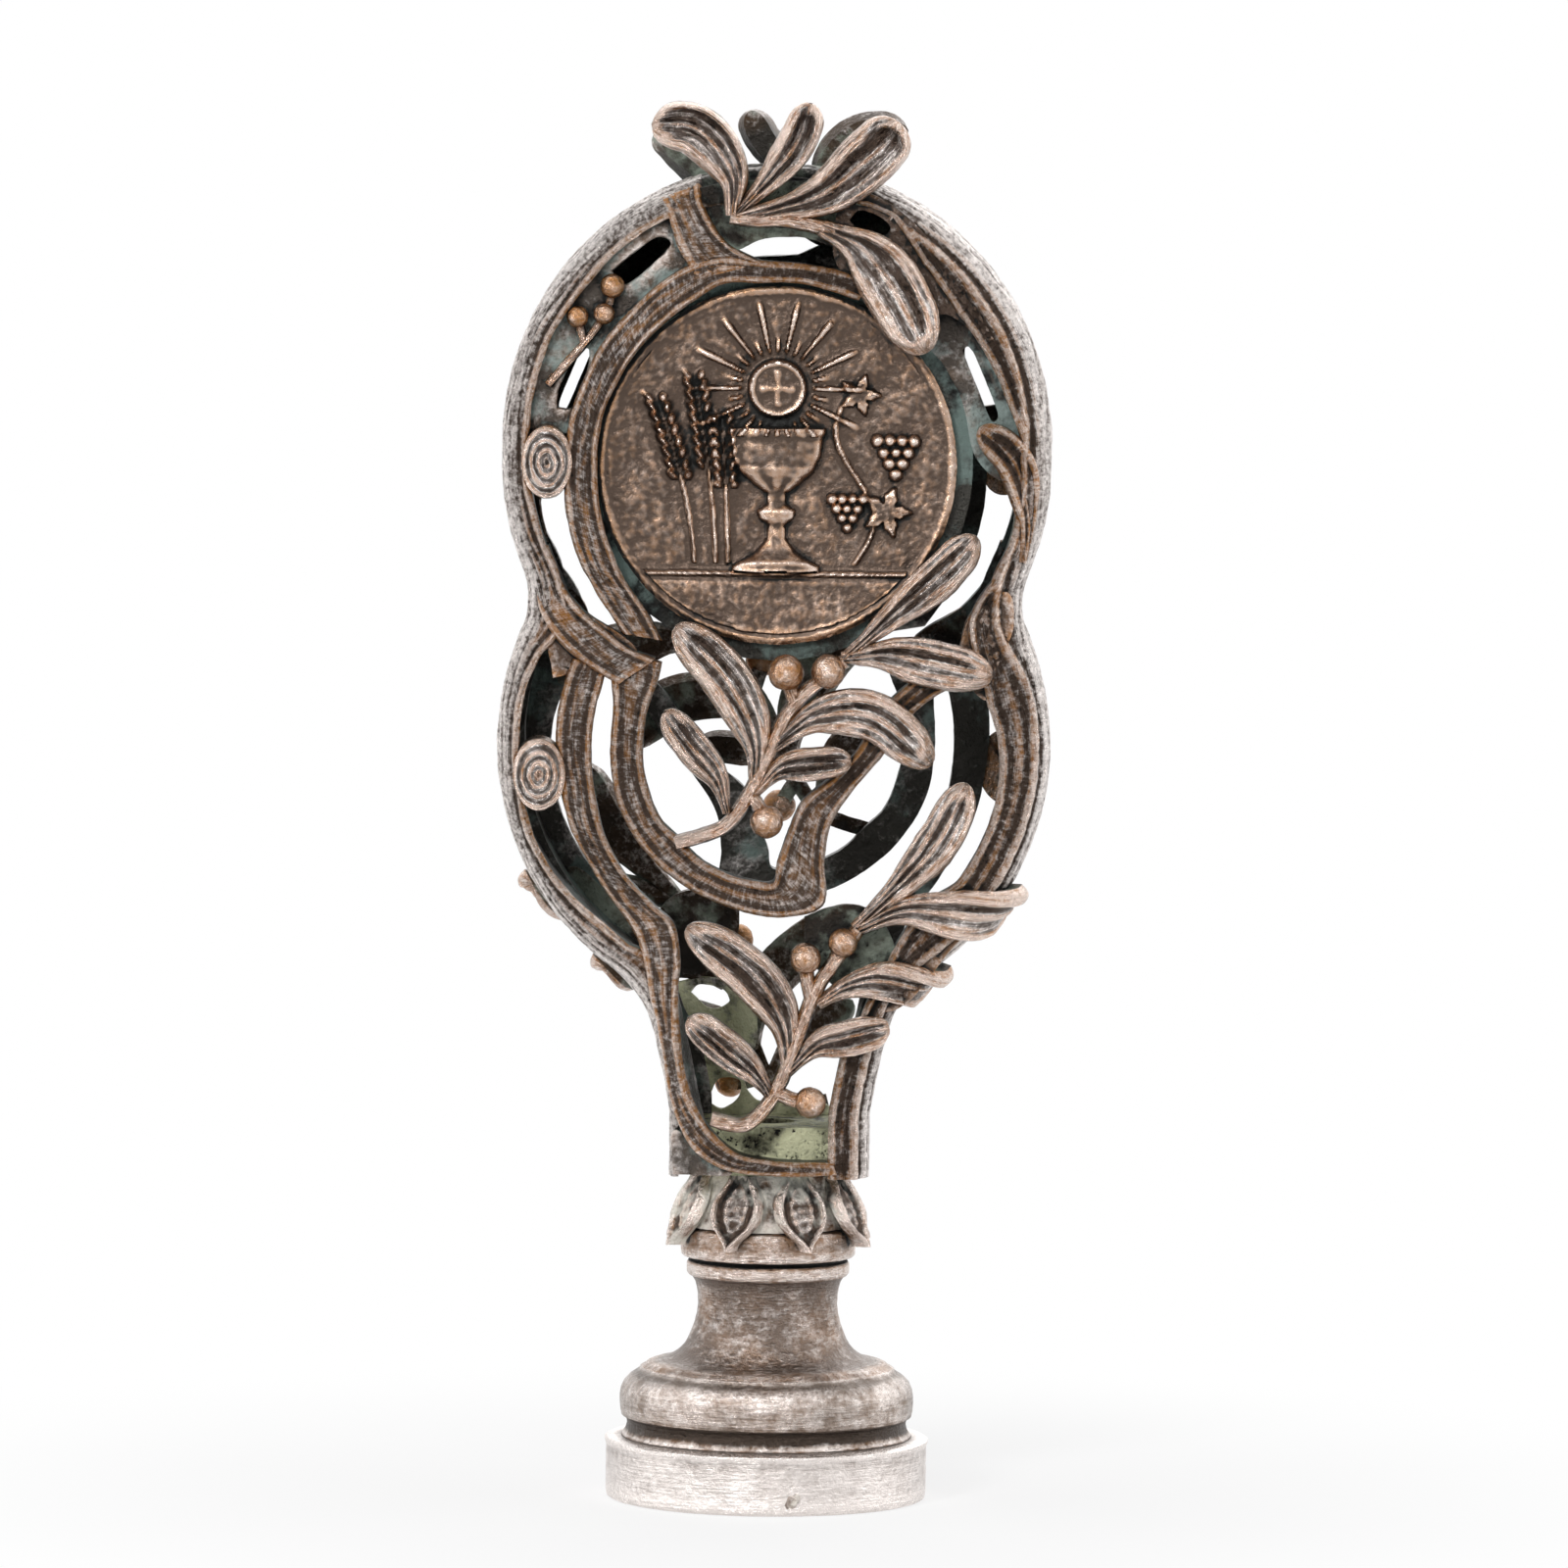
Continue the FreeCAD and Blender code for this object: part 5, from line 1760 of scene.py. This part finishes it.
@dataclass
class Medallion:
    """Struck disc with a cup under a rayed host, wheat and a fruiting vine."""

    middle_z: float = HANDLE.medal_z
    radius: float = 11.05
    seat: float = 4.1
    face: float = 0.5
    border: Bead = Bead(10.75, 0.24, 0.14)
    field_r: float = 10.4
    dish: float = 0.3
    unevenness: float = 0.14
    spread: float = 1.09
    flange: float = 12.05
    flange_deep: float = 1.05
    cells: int = 216
    cup_profile: tuple[Pair, ...] = (
        (-6.0, 2.5), (-5.7, 2.45), (-5.4, 1.9), (-4.9, 1.1), (-4.2, 0.55), (-3.4, 0.45), (-3.0, 1.0), (-2.6, 1.05),
        (-2.2, 0.5), (-1.6, 0.55), (-1.1, 1.3), (-0.4, 2.1), (0.5, 2.5), (1.5, 2.6), (1.8, 2.75), (2.1, 2.75),
    )
    cup_bands: tuple[Bead, ...] = (Bead(1.75, 0.14, 0.07), Bead(-5.5, 0.12, 0.08), Bead(-0.2, 0.1, 0.05))
    host_z: float = 4.3
    host_r: float = 1.75
    host_ring: Bead = Bead(1.45, 0.12, 0.1)
    host_cross: Bead = Bead(0.0, 0.2, 0.12)
    rays_from: float = 1.6
    ears: tuple[tuple[float, float, float], ...] = ((-0.62, 3.4, -4.6), (-0.36, 4.6, -3.4), (-0.12, 2.6, -2.7))
    ear_foot: float = -5.6
    straw: Bead = Bead(0.0, 0.14, 0.26)
    grain: Bead = Bead(0.42, 0.26, 0.7)
    vine: Bead = Bead(0.0, 0.17, 0.3)
    bunches: tuple[tuple[float, float, float], ...] = ((6.7, 1.4, 1.35), (4.0, -1.9, 1.15))
    bunch_rows: int = 4
    grape_h: float = 0.75
    vine_leaves: tuple[tuple[float, float, float], ...] = ((6.2, -2.6, 1.7), (4.6, 4.0, 1.4))
    vine_leaf_h: float = 0.45
    ground: Bead = Bead(-6.15, 0.16, 0.3)
    ground_step: float = 0.14

    def field(self, x: float, z: float) -> float:
        """Height of the struck relief at a place on the face.

        Args:
            x: place to the right of its middle.
            z: place above its middle.

        Returns:
            Height above the plain field.
        """
        out = math.hypot(x, z)
        height = self.border.at(out)
        if out > self.field_r:
            return height
        x, z = x / self.spread, z / self.spread
        height -= self.dish * (1 - (out / self.field_r) ** 2)
        height += self.unevenness * wander(x * 0.45, z * 0.45, 41.0)
        height += self.ground.at(z) + self.ground_step * ramp(-6.3, -6.6, z)
        return height + self.cup(x, z) + self.rays(x, z) + self.wheat(x, z) + self.fruit(x, z)

    def cup(self, x: float, z: float) -> float:
        """The cup: a bowl, a knopped stem and a stepped foot.

        Args:
            x: place to the right of the medallion's middle.
            z: place above it.

        Returns:
            Height above the field.
        """
        levels, halves = zip(*self.cup_profile)
        half = float(np.interp(z, levels, halves))
        if not levels[0] < z < levels[-1] or abs(x) >= half:
            return 0.0
        round_up = math.sqrt(1 - (x / half) ** 2)
        flutes = 0.05 * math.cos(x / half * 9) * ramp(0.2, -0.3, z) * ramp(-1.6, -1.1, z)
        body = (0.3 + 0.85 * min(half / 2.0, 1.0) * round_up) * ramp(0.0, 0.28, round_up)
        return body + sum(band.at(z) for band in self.cup_bands) + flutes

    def rays(self, x: float, z: float) -> float:
        """The host above the cup and the rays around it.

        Args:
            x: place to the right of the medallion's middle.
            z: place above it.

        Returns:
            Height above the field.
        """
        high = z - self.host_z
        out = math.hypot(x, high)
        if out < self.host_r:
            upright = self.host_cross.at(x) * ramp(1.1, 0.9, abs(high))
            level = self.host_cross.at(high) * ramp(1.1, 0.9, abs(x))
            return 0.55 * ramp(self.host_r, 1.5, out) + self.host_ring.at(out) + max(upright, level)
        if z < self.rays_from:
            return 0.0
        turn = math.atan2(high, x)
        length = 3.6 + 1.1 * math.cos(turn * 14)
        beam = ramp(0.1, 0.8, math.cos(turn * 28))
        return 0.3 * beam * ramp(length + 0.6, length - 0.4, out) * ramp(1.9, 2.3, out)

    def wheat(self, x: float, z: float) -> float:
        """Three ears of wheat on the left.

        Args:
            x: place to the right of the medallion's middle.
            z: place above it.

        Returns:
            Height above the field.
        """
        height = 0.0
        for lean, top, foot in self.ears:
            share = (z - self.ear_foot) / (top - self.ear_foot)
            if not 0 < share < 1.12:
                continue
            off = x - (foot + lean * 3.4 * share ** 1.6)
            height = max(height, self.straw.at(off) * ramp(1.0, 0.9, share))
            if share > 0.52:
                step = (z * 1.55 + abs(off) * -1.1) % 1.0
                grain = self.grain.at(abs(off)) * (0.35 + 0.65 * math.sin(step * math.pi))
                height = max(height, grain * ramp(1.1, 1.0, share) * ramp(0.5, 0.56, share))
        return height

    def fruit(self, x: float, z: float) -> float:
        """A vine with two bunches of grapes and two leaves on the right.

        Args:
            x: place to the right of the medallion's middle.
            z: place above it.

        Returns:
            Height above the field.
        """
        line = 4.4 + 1.1 * math.sin((z + 5.6) * 0.62)
        height = self.vine.at(x - line) * ramp(-5.8, -5.3, z) * ramp(4.6, 4.0, z)
        for middle_x, middle_z, wide in self.bunches:
            for row in range(self.bunch_rows):
                for step in range(self.bunch_rows - row):
                    grape_x = middle_x + (step - (self.bunch_rows - 1 - row) / 2) * wide * 0.5
                    away = math.hypot(x - grape_x, z - middle_z + row * wide * 0.46) / (wide * 0.3)
                    if away < 1:
                        height = max(height, self.grape_h * math.sqrt(1 - away ** 2))
        for middle_x, middle_z, size in self.vine_leaves:
            away = math.hypot(x - middle_x, z - middle_z) / size
            turn = math.atan2(z - middle_z, x - middle_x)
            edge = 0.72 + 0.2 * math.cos(turn * 5) + 0.05 * math.cos(turn * 15)
            if away < edge:
                veins = 0.1 * hump((turn * 5 / (2 * math.pi)) % 1 - 0.5, 0.5, 0.12)
                height = max(height, self.vine_leaf_h * ramp(edge, edge - 0.2, away) + veins - 0.12 * away)
        return height

    def point(self, right: float, up: float) -> Vector:
        """Point of the face: a square sheet drawn out to a disc.

        Args:
            right: share of the way across the sheet.
            up: share of the way up the sheet.

        Returns:
            The point.
        """
        u, v = 2 * right - 1, 2 * up - 1
        x = self.radius * u * math.sqrt(1 - v * v / 2)
        z = self.radius * v * math.sqrt(1 - u * u / 2)
        top = self.seat + self.face + self.field(x, z) + 0.03 * wander(x * 1.6, z * 1.6, 5.0)
        return Vector((x, -top, z + self.middle_z))

    def build(self) -> bpy.types.Object:
        """Models the front medallion.

        Returns:
            The piece.
        """
        shape = Shape()
        shape.sheet(self.cells, self.cells, self.point, (2 * self.radius, 2 * self.radius))
        border = [edge for edge in shape.bm.edges if edge.is_boundary]
        below = self.seat - self.flange_deep
        for radius, deep in ((self.radius, self.seat), (self.flange, self.seat), (self.flange, below)):
            grown = bmesh.ops.extrude_edge_only(shape.bm, edges=border)["geom"]
            border = [item for item in grown if isinstance(item, bmesh.types.BMEdge)]
            for vert in {vert for edge in border for vert in edge.verts}:
                out = Vector((vert.co.x, vert.co.z - self.middle_z)).normalized() * radius
                vert.co = Vector((out.x, -deep, out.y + self.middle_z))
        for face in shape.bm.faces:
            spot = face.calc_center_median()
            face.material_index = int(math.hypot(spot.x, spot.z - self.middle_z) > self.radius - 0.02)
        return shape.finish(
            "front_medallion_face", [Finish.MEDAL, Finish.INNER], "struck_bronze", ["front_medallion"])


@dataclass
class TurnedFoot:
    """Matrix disc and baluster stem, turned in a lathe."""

    matrix: tuple[Pair, ...] = (
        (0.0, 0.14), (8.2, 0.12), (8.9, 0.08), (9.75, 0.05), (9.9, 0.14), (9.95, 0.35), (9.95, 1.2), (9.93, 2.2),
        (9.95, 3.0), (9.93, 3.3), (10.0, 3.42), (10.04, 3.56), (10.02, 3.68), (9.88, 3.78), (9.6, 3.84), (0.0, 3.85),
    )
    stem: tuple[Pair, ...] = (
        (0.0, 3.86), (9.0, 3.86), (8.92, 4.0), (8.72, 4.3), (8.66, 4.6), (8.68, 4.85), (8.8, 5.02), (8.98, 5.14),
        (9.07, 5.45), (9.1, 5.9), (9.1, 6.35), (9.04, 6.8), (8.86, 7.2), (8.5, 7.56), (8.1, 7.82), (7.92, 7.96),
        (7.9, 8.06), (7.78, 8.12), (7.62, 8.2), (7.44, 8.36), (7.2, 8.46), (6.6, 8.58), (6.1, 8.74),
        (5.72, 8.96), (5.42, 9.2), (5.16, 9.5), (4.92, 9.9), (4.7, 10.4), (4.52, 10.9), (4.38, 11.5), (4.31, 12.1),
        (4.34, 12.7), (4.42, 13.15), (4.52, 13.5), (4.66, 13.72), (4.72, 13.84), (4.9, 13.9), (5.02, 14.05),
        (5.05, 14.3), (5.04, 14.6), (4.95, 14.78), (4.7, 14.86), (4.68, 14.98), (4.9, 15.05), (5.3, 15.1),
        (5.4, 15.22), (5.42, 15.6), (5.4, 16.1), (5.38, 16.5), (5.3, 16.82), (5.1, 16.93), (0.0, 16.94),
    )
    steps: int = 168
    finest: float = 0.3
    bands: tuple[tuple[float, Finish], ...] = (
        (8.1, Finish.NECK), (4.98, Finish.TORUS), (3.86, Finish.UNDERCUT),
    )
    crumbs: tuple[tuple[float, float, float], ...] = ((1.55, 0.95, 0.42), (1.85, 1.2, 0.3), (1.3, 0.75, 0.25))
    disc_r: float = 9.93
    finishes: tuple[Finish, ...] = (Finish.FOOT, Finish.NECK, Finish.UNDERCUT, Finish.CHALK, Finish.TORUS)

    @staticmethod
    def finer(profile: Sequence[Pair], step: float) -> list[Pair]:
        """Adds points to a profile so that no face is taller than a step.

        Args:
            profile: (radius, height) in order.
            step: the step.

        Returns:
            The finer profile.
        """
        found = []
        for near, far in zip(profile, profile[1:]):
            parts = max(1, round(math.dist(near, far) / step))
            for index in range(parts):
                share = index / parts
                found.append((near[0] + (far[0] - near[0]) * share, near[1] + (far[1] - near[1]) * share))
        return [*found, profile[-1]]

    def chip(self, shape: Shape) -> None:
        """Adds the crumb of white residue that clings to the front of the disc.

        Args:
            shape: the disc.
        """
        before = set(shape.bm.faces)
        for x, z, radius in self.crumbs:
            shape.ball(Vector((x, -math.sqrt(self.disc_r ** 2 - x * x), z)), radius, 0.16, x)
        for face in set(shape.bm.faces) - before:
            face.material_index = self.finishes.index(Finish.CHALK)

    def build(self) -> list[bpy.types.Object]:
        """Models the disc and the stem.

        Returns:
            Both pieces.
        """
        made = []
        for name, profile in (("seal_matrix", self.matrix), ("baluster_stem", self.stem)):
            shape = Shape()
            shape.turned(self.finer(profile, self.finest), self.steps)
            for vert in shape.bm.verts:
                chatter = 1 + 0.0012 * math.sin(vert.co.z * 31) + 0.0016 * noise.noise(vert.co * 0.6)
                vert.co = Vector((vert.co.x * chatter, vert.co.y * chatter, vert.co.z))
            for face in shape.bm.faces:
                height = face.calc_center_median().z
                finish = next((finish for low, finish in self.bands if height > low), Finish.FOOT)
                face.material_index = self.finishes.index(finish)
            if name == "seal_matrix":
                self.chip(shape)
            made.append(shape.finish(name + "_turned", self.finishes, "silvered_base", [name], 0.014))
        return made


@dataclass
class LeafCollar:
    """Eight pointed leaves that droop from under the handle over the stem."""

    leaves: int = 8
    top_z: float = 20.42
    tip_z: float = 15.95
    top_r: float = 4.35
    tip_r: float = 6.2
    half: float = 1.74
    wall: float = 0.5
    face_steps: int = 22
    back_steps: int = 12
    rows: int = 26
    core: tuple[Pair, ...] = (
        (0.0, 20.44), (4.2, 20.44), (4.3, 20.2), (4.42, 19.6), (4.7, 18.8), (4.95, 18.0), (5.05, 17.4), (5.1, 17.0),
        (4.6, 16.96), (0.0, 16.96),
    )
    core_steps: int = 96

    def bell(self, down: float) -> float:
        """Radius of the collar at a share of the way down."""
        return self.top_r + (self.tip_r - self.top_r) * (1 - (1 - min(down, 1.0)) ** 1.9)

    def leaf(self, turn: float) -> Place:
        """Surface of one leaf as a closed tube around its face and its hollow back.

        Args:
            turn: its angle around the stem.

        Returns:
            The function that places its points.
        """
        last = self.face_steps + self.back_steps

        def place(share: float, down: float) -> Vector:
            """Point of the leaf.

            Args:
                share: share of the way round it, first across its face and then back underneath.
                down: share of the way down to its tip.

            Returns:
                The point.
            """
            index = round(share * last) % last
            top = index <= self.face_steps
            part = 2 * index / self.face_steps - 1 if top else 1 - 2 * (index - self.face_steps) / self.back_steps
            half = self.half * (0.55 + 0.45 * ramp(0.0, 0.4, down)) * (1 - 0.8 * ramp(0.4, 1.0, down) ** 2)
            edge = (1 - abs(part)) * half
            if top:
                lift = 0.4 * hump(edge, 0.3, 0.2) - 0.3 * ramp(0.45, 0.8, edge) + 0.12 * hump(edge, 1.0, 0.2)
                lift += 0.05 * math.sin(down * 46 + part * 3) * ramp(0.6, 0.9, edge)
                lift -= 0.25 * ramp(0.12, 0.0, edge)
            else:
                lift = -self.wall - 0.35 * (1 - part * part) * ramp(0.2, 0.8, down)
            out = self.bell(down) + lift + 0.25 * ramp(0.75, 1.0, down) - 0.2 * part * part
            z = self.top_z - (self.top_z - self.tip_z) * down
            angle = turn + part * half / max(out, 1.0)
            return Vector((out * math.sin(angle), -out * math.cos(angle), z))

        return place

    def build(self) -> list[bpy.types.Object]:
        """Models the collar.

        Returns:
            The leaves and the pale core between them.
        """
        shape = Shape()
        around = self.face_steps + self.back_steps
        for index in range(self.leaves):
            turn = (index + 0.5) * 2 * math.pi / self.leaves
            shape.sheet(around, self.rows, self.leaf(turn), (around * 0.3, self.rows * 0.2))
        leaves = shape.finish("collar_leaves", [Finish.COLLAR], "cast_bronze", ["leaf_collar"])
        shape = Shape()
        shape.turned(TurnedFoot.finer(self.core, TurnedFoot.finest), self.core_steps)
        return [leaves, shape.finish("collar_core", [Finish.CHALK], "cast_bronze", ["leaf_collar"])]


@dataclass(frozen=True)
class Lamp:
    """Square soft lamp: where it stands and its side, in metres, and its power in watts."""

    name: str
    place: tuple[float, float, float]
    side: float
    power: float


LAMPS = (
    Lamp("left_lamp", (-0.52, 0.0, 0.2), 0.62, 1.5),
    Lamp("right_lamp", (0.52, 0.02, 0.22), 0.62, 1.5),
    Lamp("top_lamp", (-0.1, -0.55, 0.45), 0.36, 0.9),
    Lamp("key_lamp", (-0.26, -0.52, 0.34), 0.12, 1.5),
    Lamp("back_lamp", (0.1, 0.55, 0.4), 0.5, 1.2),
)


@dataclass
class Studio:
    """Pale floor, soft lamps, white surround and the camera."""

    floor_half: float = 12.0
    aim: tuple[float, float, float] = (0.0, 0.0, 0.045)
    lens: float = 300.0
    sensor: float = 36.0
    above: float = 4.5
    lean: float = 0.64
    middle: tuple[float, float, float] = (0.66, 0.0, 44.4)
    frame_w: float = 97.0

    def floor(self) -> None:
        """Pale floor that stays near white and keeps the object's shadow."""
        bm = bmesh.new()
        bmesh.ops.create_grid(bm, x_segments=8, y_segments=8, size=self.floor_half)
        mesh = bpy.data.meshes.new("floor")
        bm.to_mesh(mesh)
        bm.free()
        floor = bpy.data.objects.new("floor", mesh)
        bpy.context.scene.collection.objects.link(floor)
        paint = Paint("pale_floor")
        matt = paint.node("ShaderNodeBsdfDiffuse", {}, {"Color": (0.9, 0.9, 0.9, 1.0)})
        glow = paint.node("ShaderNodeEmission", {}, {"Color": (1.0, 1.0, 1.0, 1.0), "Strength": 1.0})
        spot = Link(paint, paint.node("ShaderNodeTexCoord", {}, {}).outputs["Object"])
        away = paint.node("ShaderNodeVectorMath", {"operation": "LENGTH"}, {0: spot})
        far = Link(paint, away.outputs["Value"]).between(0.014, 0.07)
        share = paint.looks() * (far * 0.25 + 0.75)
        mix = paint.node("ShaderNodeMixShader", {}, {
            0: share, 1: Link(paint, matt.outputs[0]), 2: Link(paint, glow.outputs[0]),
        })
        out = paint.node("ShaderNodeOutputMaterial", {}, {})
        paint.tree.links.new(mix.outputs[0], out.inputs["Surface"])
        mesh.materials.append(paint.material)

    def surround(self) -> None:
        """White surround that the camera sees whole and the metal sees softly."""
        sky = Paint("surround", world=True)
        soft = sky.node("ShaderNodeBackground", {}, {"Color": (0.95, 0.97, 1.0, 1.0), "Strength": 0.2})
        white = sky.node("ShaderNodeBackground", {}, {"Color": (1.0, 1.0, 1.0, 1.0), "Strength": 1.0})
        mix = sky.node("ShaderNodeMixShader", {}, {
            0: sky.looks(), 1: Link(sky, soft.outputs[0]), 2: Link(sky, white.outputs[0]),
        })
        out = sky.node("ShaderNodeOutputWorld", {}, {})
        sky.tree.links.new(mix.outputs[0], out.inputs["Surface"])
        bpy.context.scene.world = sky.material

    def lamp(self, made: Lamp) -> None:
        """Sets up a lamp that faces the middle of the seal.

        Args:
            made: the lamp.
        """
        light = bpy.data.lights.new(made.name, "AREA")
        light.size = made.side
        light.energy = made.power
        lamp = bpy.data.objects.new(made.name, light)
        lamp.location = made.place
        lamp.rotation_euler = (Vector(self.aim) - Vector(made.place)).to_track_quat("-Z", "Y").to_euler()
        bpy.context.scene.collection.objects.link(lamp)

    def camera(self) -> None:
        """Long lens, a little above level, leaning with the photograph."""
        data = bpy.data.cameras.new("camera")
        data.lens = self.lens
        data.sensor_width = self.sensor
        camera = bpy.data.objects.new("camera", data)
        view, lean = math.radians(self.above), math.radians(self.lean)
        middle = Vector(self.middle) * METRE
        away = self.frame_w * METRE * self.lens / self.sensor
        back = Vector((0, -math.cos(view), math.sin(view)))
        turn = back.to_track_quat("Z", "Y").to_matrix()
        turn = turn @ Matrix.Rotation(lean, 3, "Z")
        camera.matrix_world = Matrix.Translation(middle + back * away) @ turn.to_4x4()
        bpy.context.scene.collection.objects.link(camera)
        bpy.context.scene.camera = camera

    def build(self) -> None:
        """Sets up the whole studio."""
        self.floor()
        self.surround()
        for made in LAMPS:
            self.lamp(made)
        self.camera()
        bpy.context.scene.view_settings.view_transform = "Standard"


def back_copy(piece: bpy.types.Object) -> bpy.types.Object:
    """The same piece on the back of the handle, half a turn round the upright axis.

    Args:
        piece: a finished front piece.

    Returns:
        Its copy.
    """
    mesh = piece.data.copy()
    mesh.transform(Matrix.Rotation(math.pi, 4, "Z"))
    crown = HANDLE.crown_z * METRE
    for vert in mesh.vertices:
        if vert.co.z > crown:
            vert.co.z = crown + (vert.co.z - crown) * HANDLE.back_crown
    nodes = [name.replace("front_", "back_") for name in piece["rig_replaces"]]
    name = piece.name.replace(Side.FRONT.value, Side.BACK.value)
    return seat(mesh, name, [], piece["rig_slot"], nodes)


def dress(node: str, finish: Finish) -> None:
    """Gives a CAD solid that stays in view its finish.

    Args:
        node: its name.
        finish: the finish.
    """
    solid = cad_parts[node]
    if not solid.material_slots:
        solid.data.materials.append(material_of(finish))
    for slot in solid.material_slots:
        slot.material = material_of(finish)


def main() -> None:
    """Builds the seal, its finishes and the studio."""
    logging.basicConfig(level=logging.INFO, format="%(message)s")
    Studio().build()
    fronts = [Rim().build(), *Bands().build(), Curl().build()]
    for sprig in SPRIGS:
        fronts += sprig.build()
    fronts.append(Medallion().build())
    base = [*TurnedFoot().build(), *LeafCollar().build(), Bands().neck_wall()]
    shadows = [back_copy(piece) for piece in fronts]
    PatinaAndShade().settle([*fronts, *base], shadows)
    Rim().calm(fronts[0])
    for front, back in zip(fronts, shadows):
        for name in ("crest", "shade"):
            values = np.empty(len(front.data.vertices), dtype=np.float32)
            front.data.attributes[name].data.foreach_get("value", values)
            back.data.attributes.new(name, "FLOAT", "POINT").data.foreach_set("value", values)
    dress("foot_plug", Finish.GREEN)
    dress("threaded_stud", Finish.FOOT)


if __name__ == "__main__":
    main()
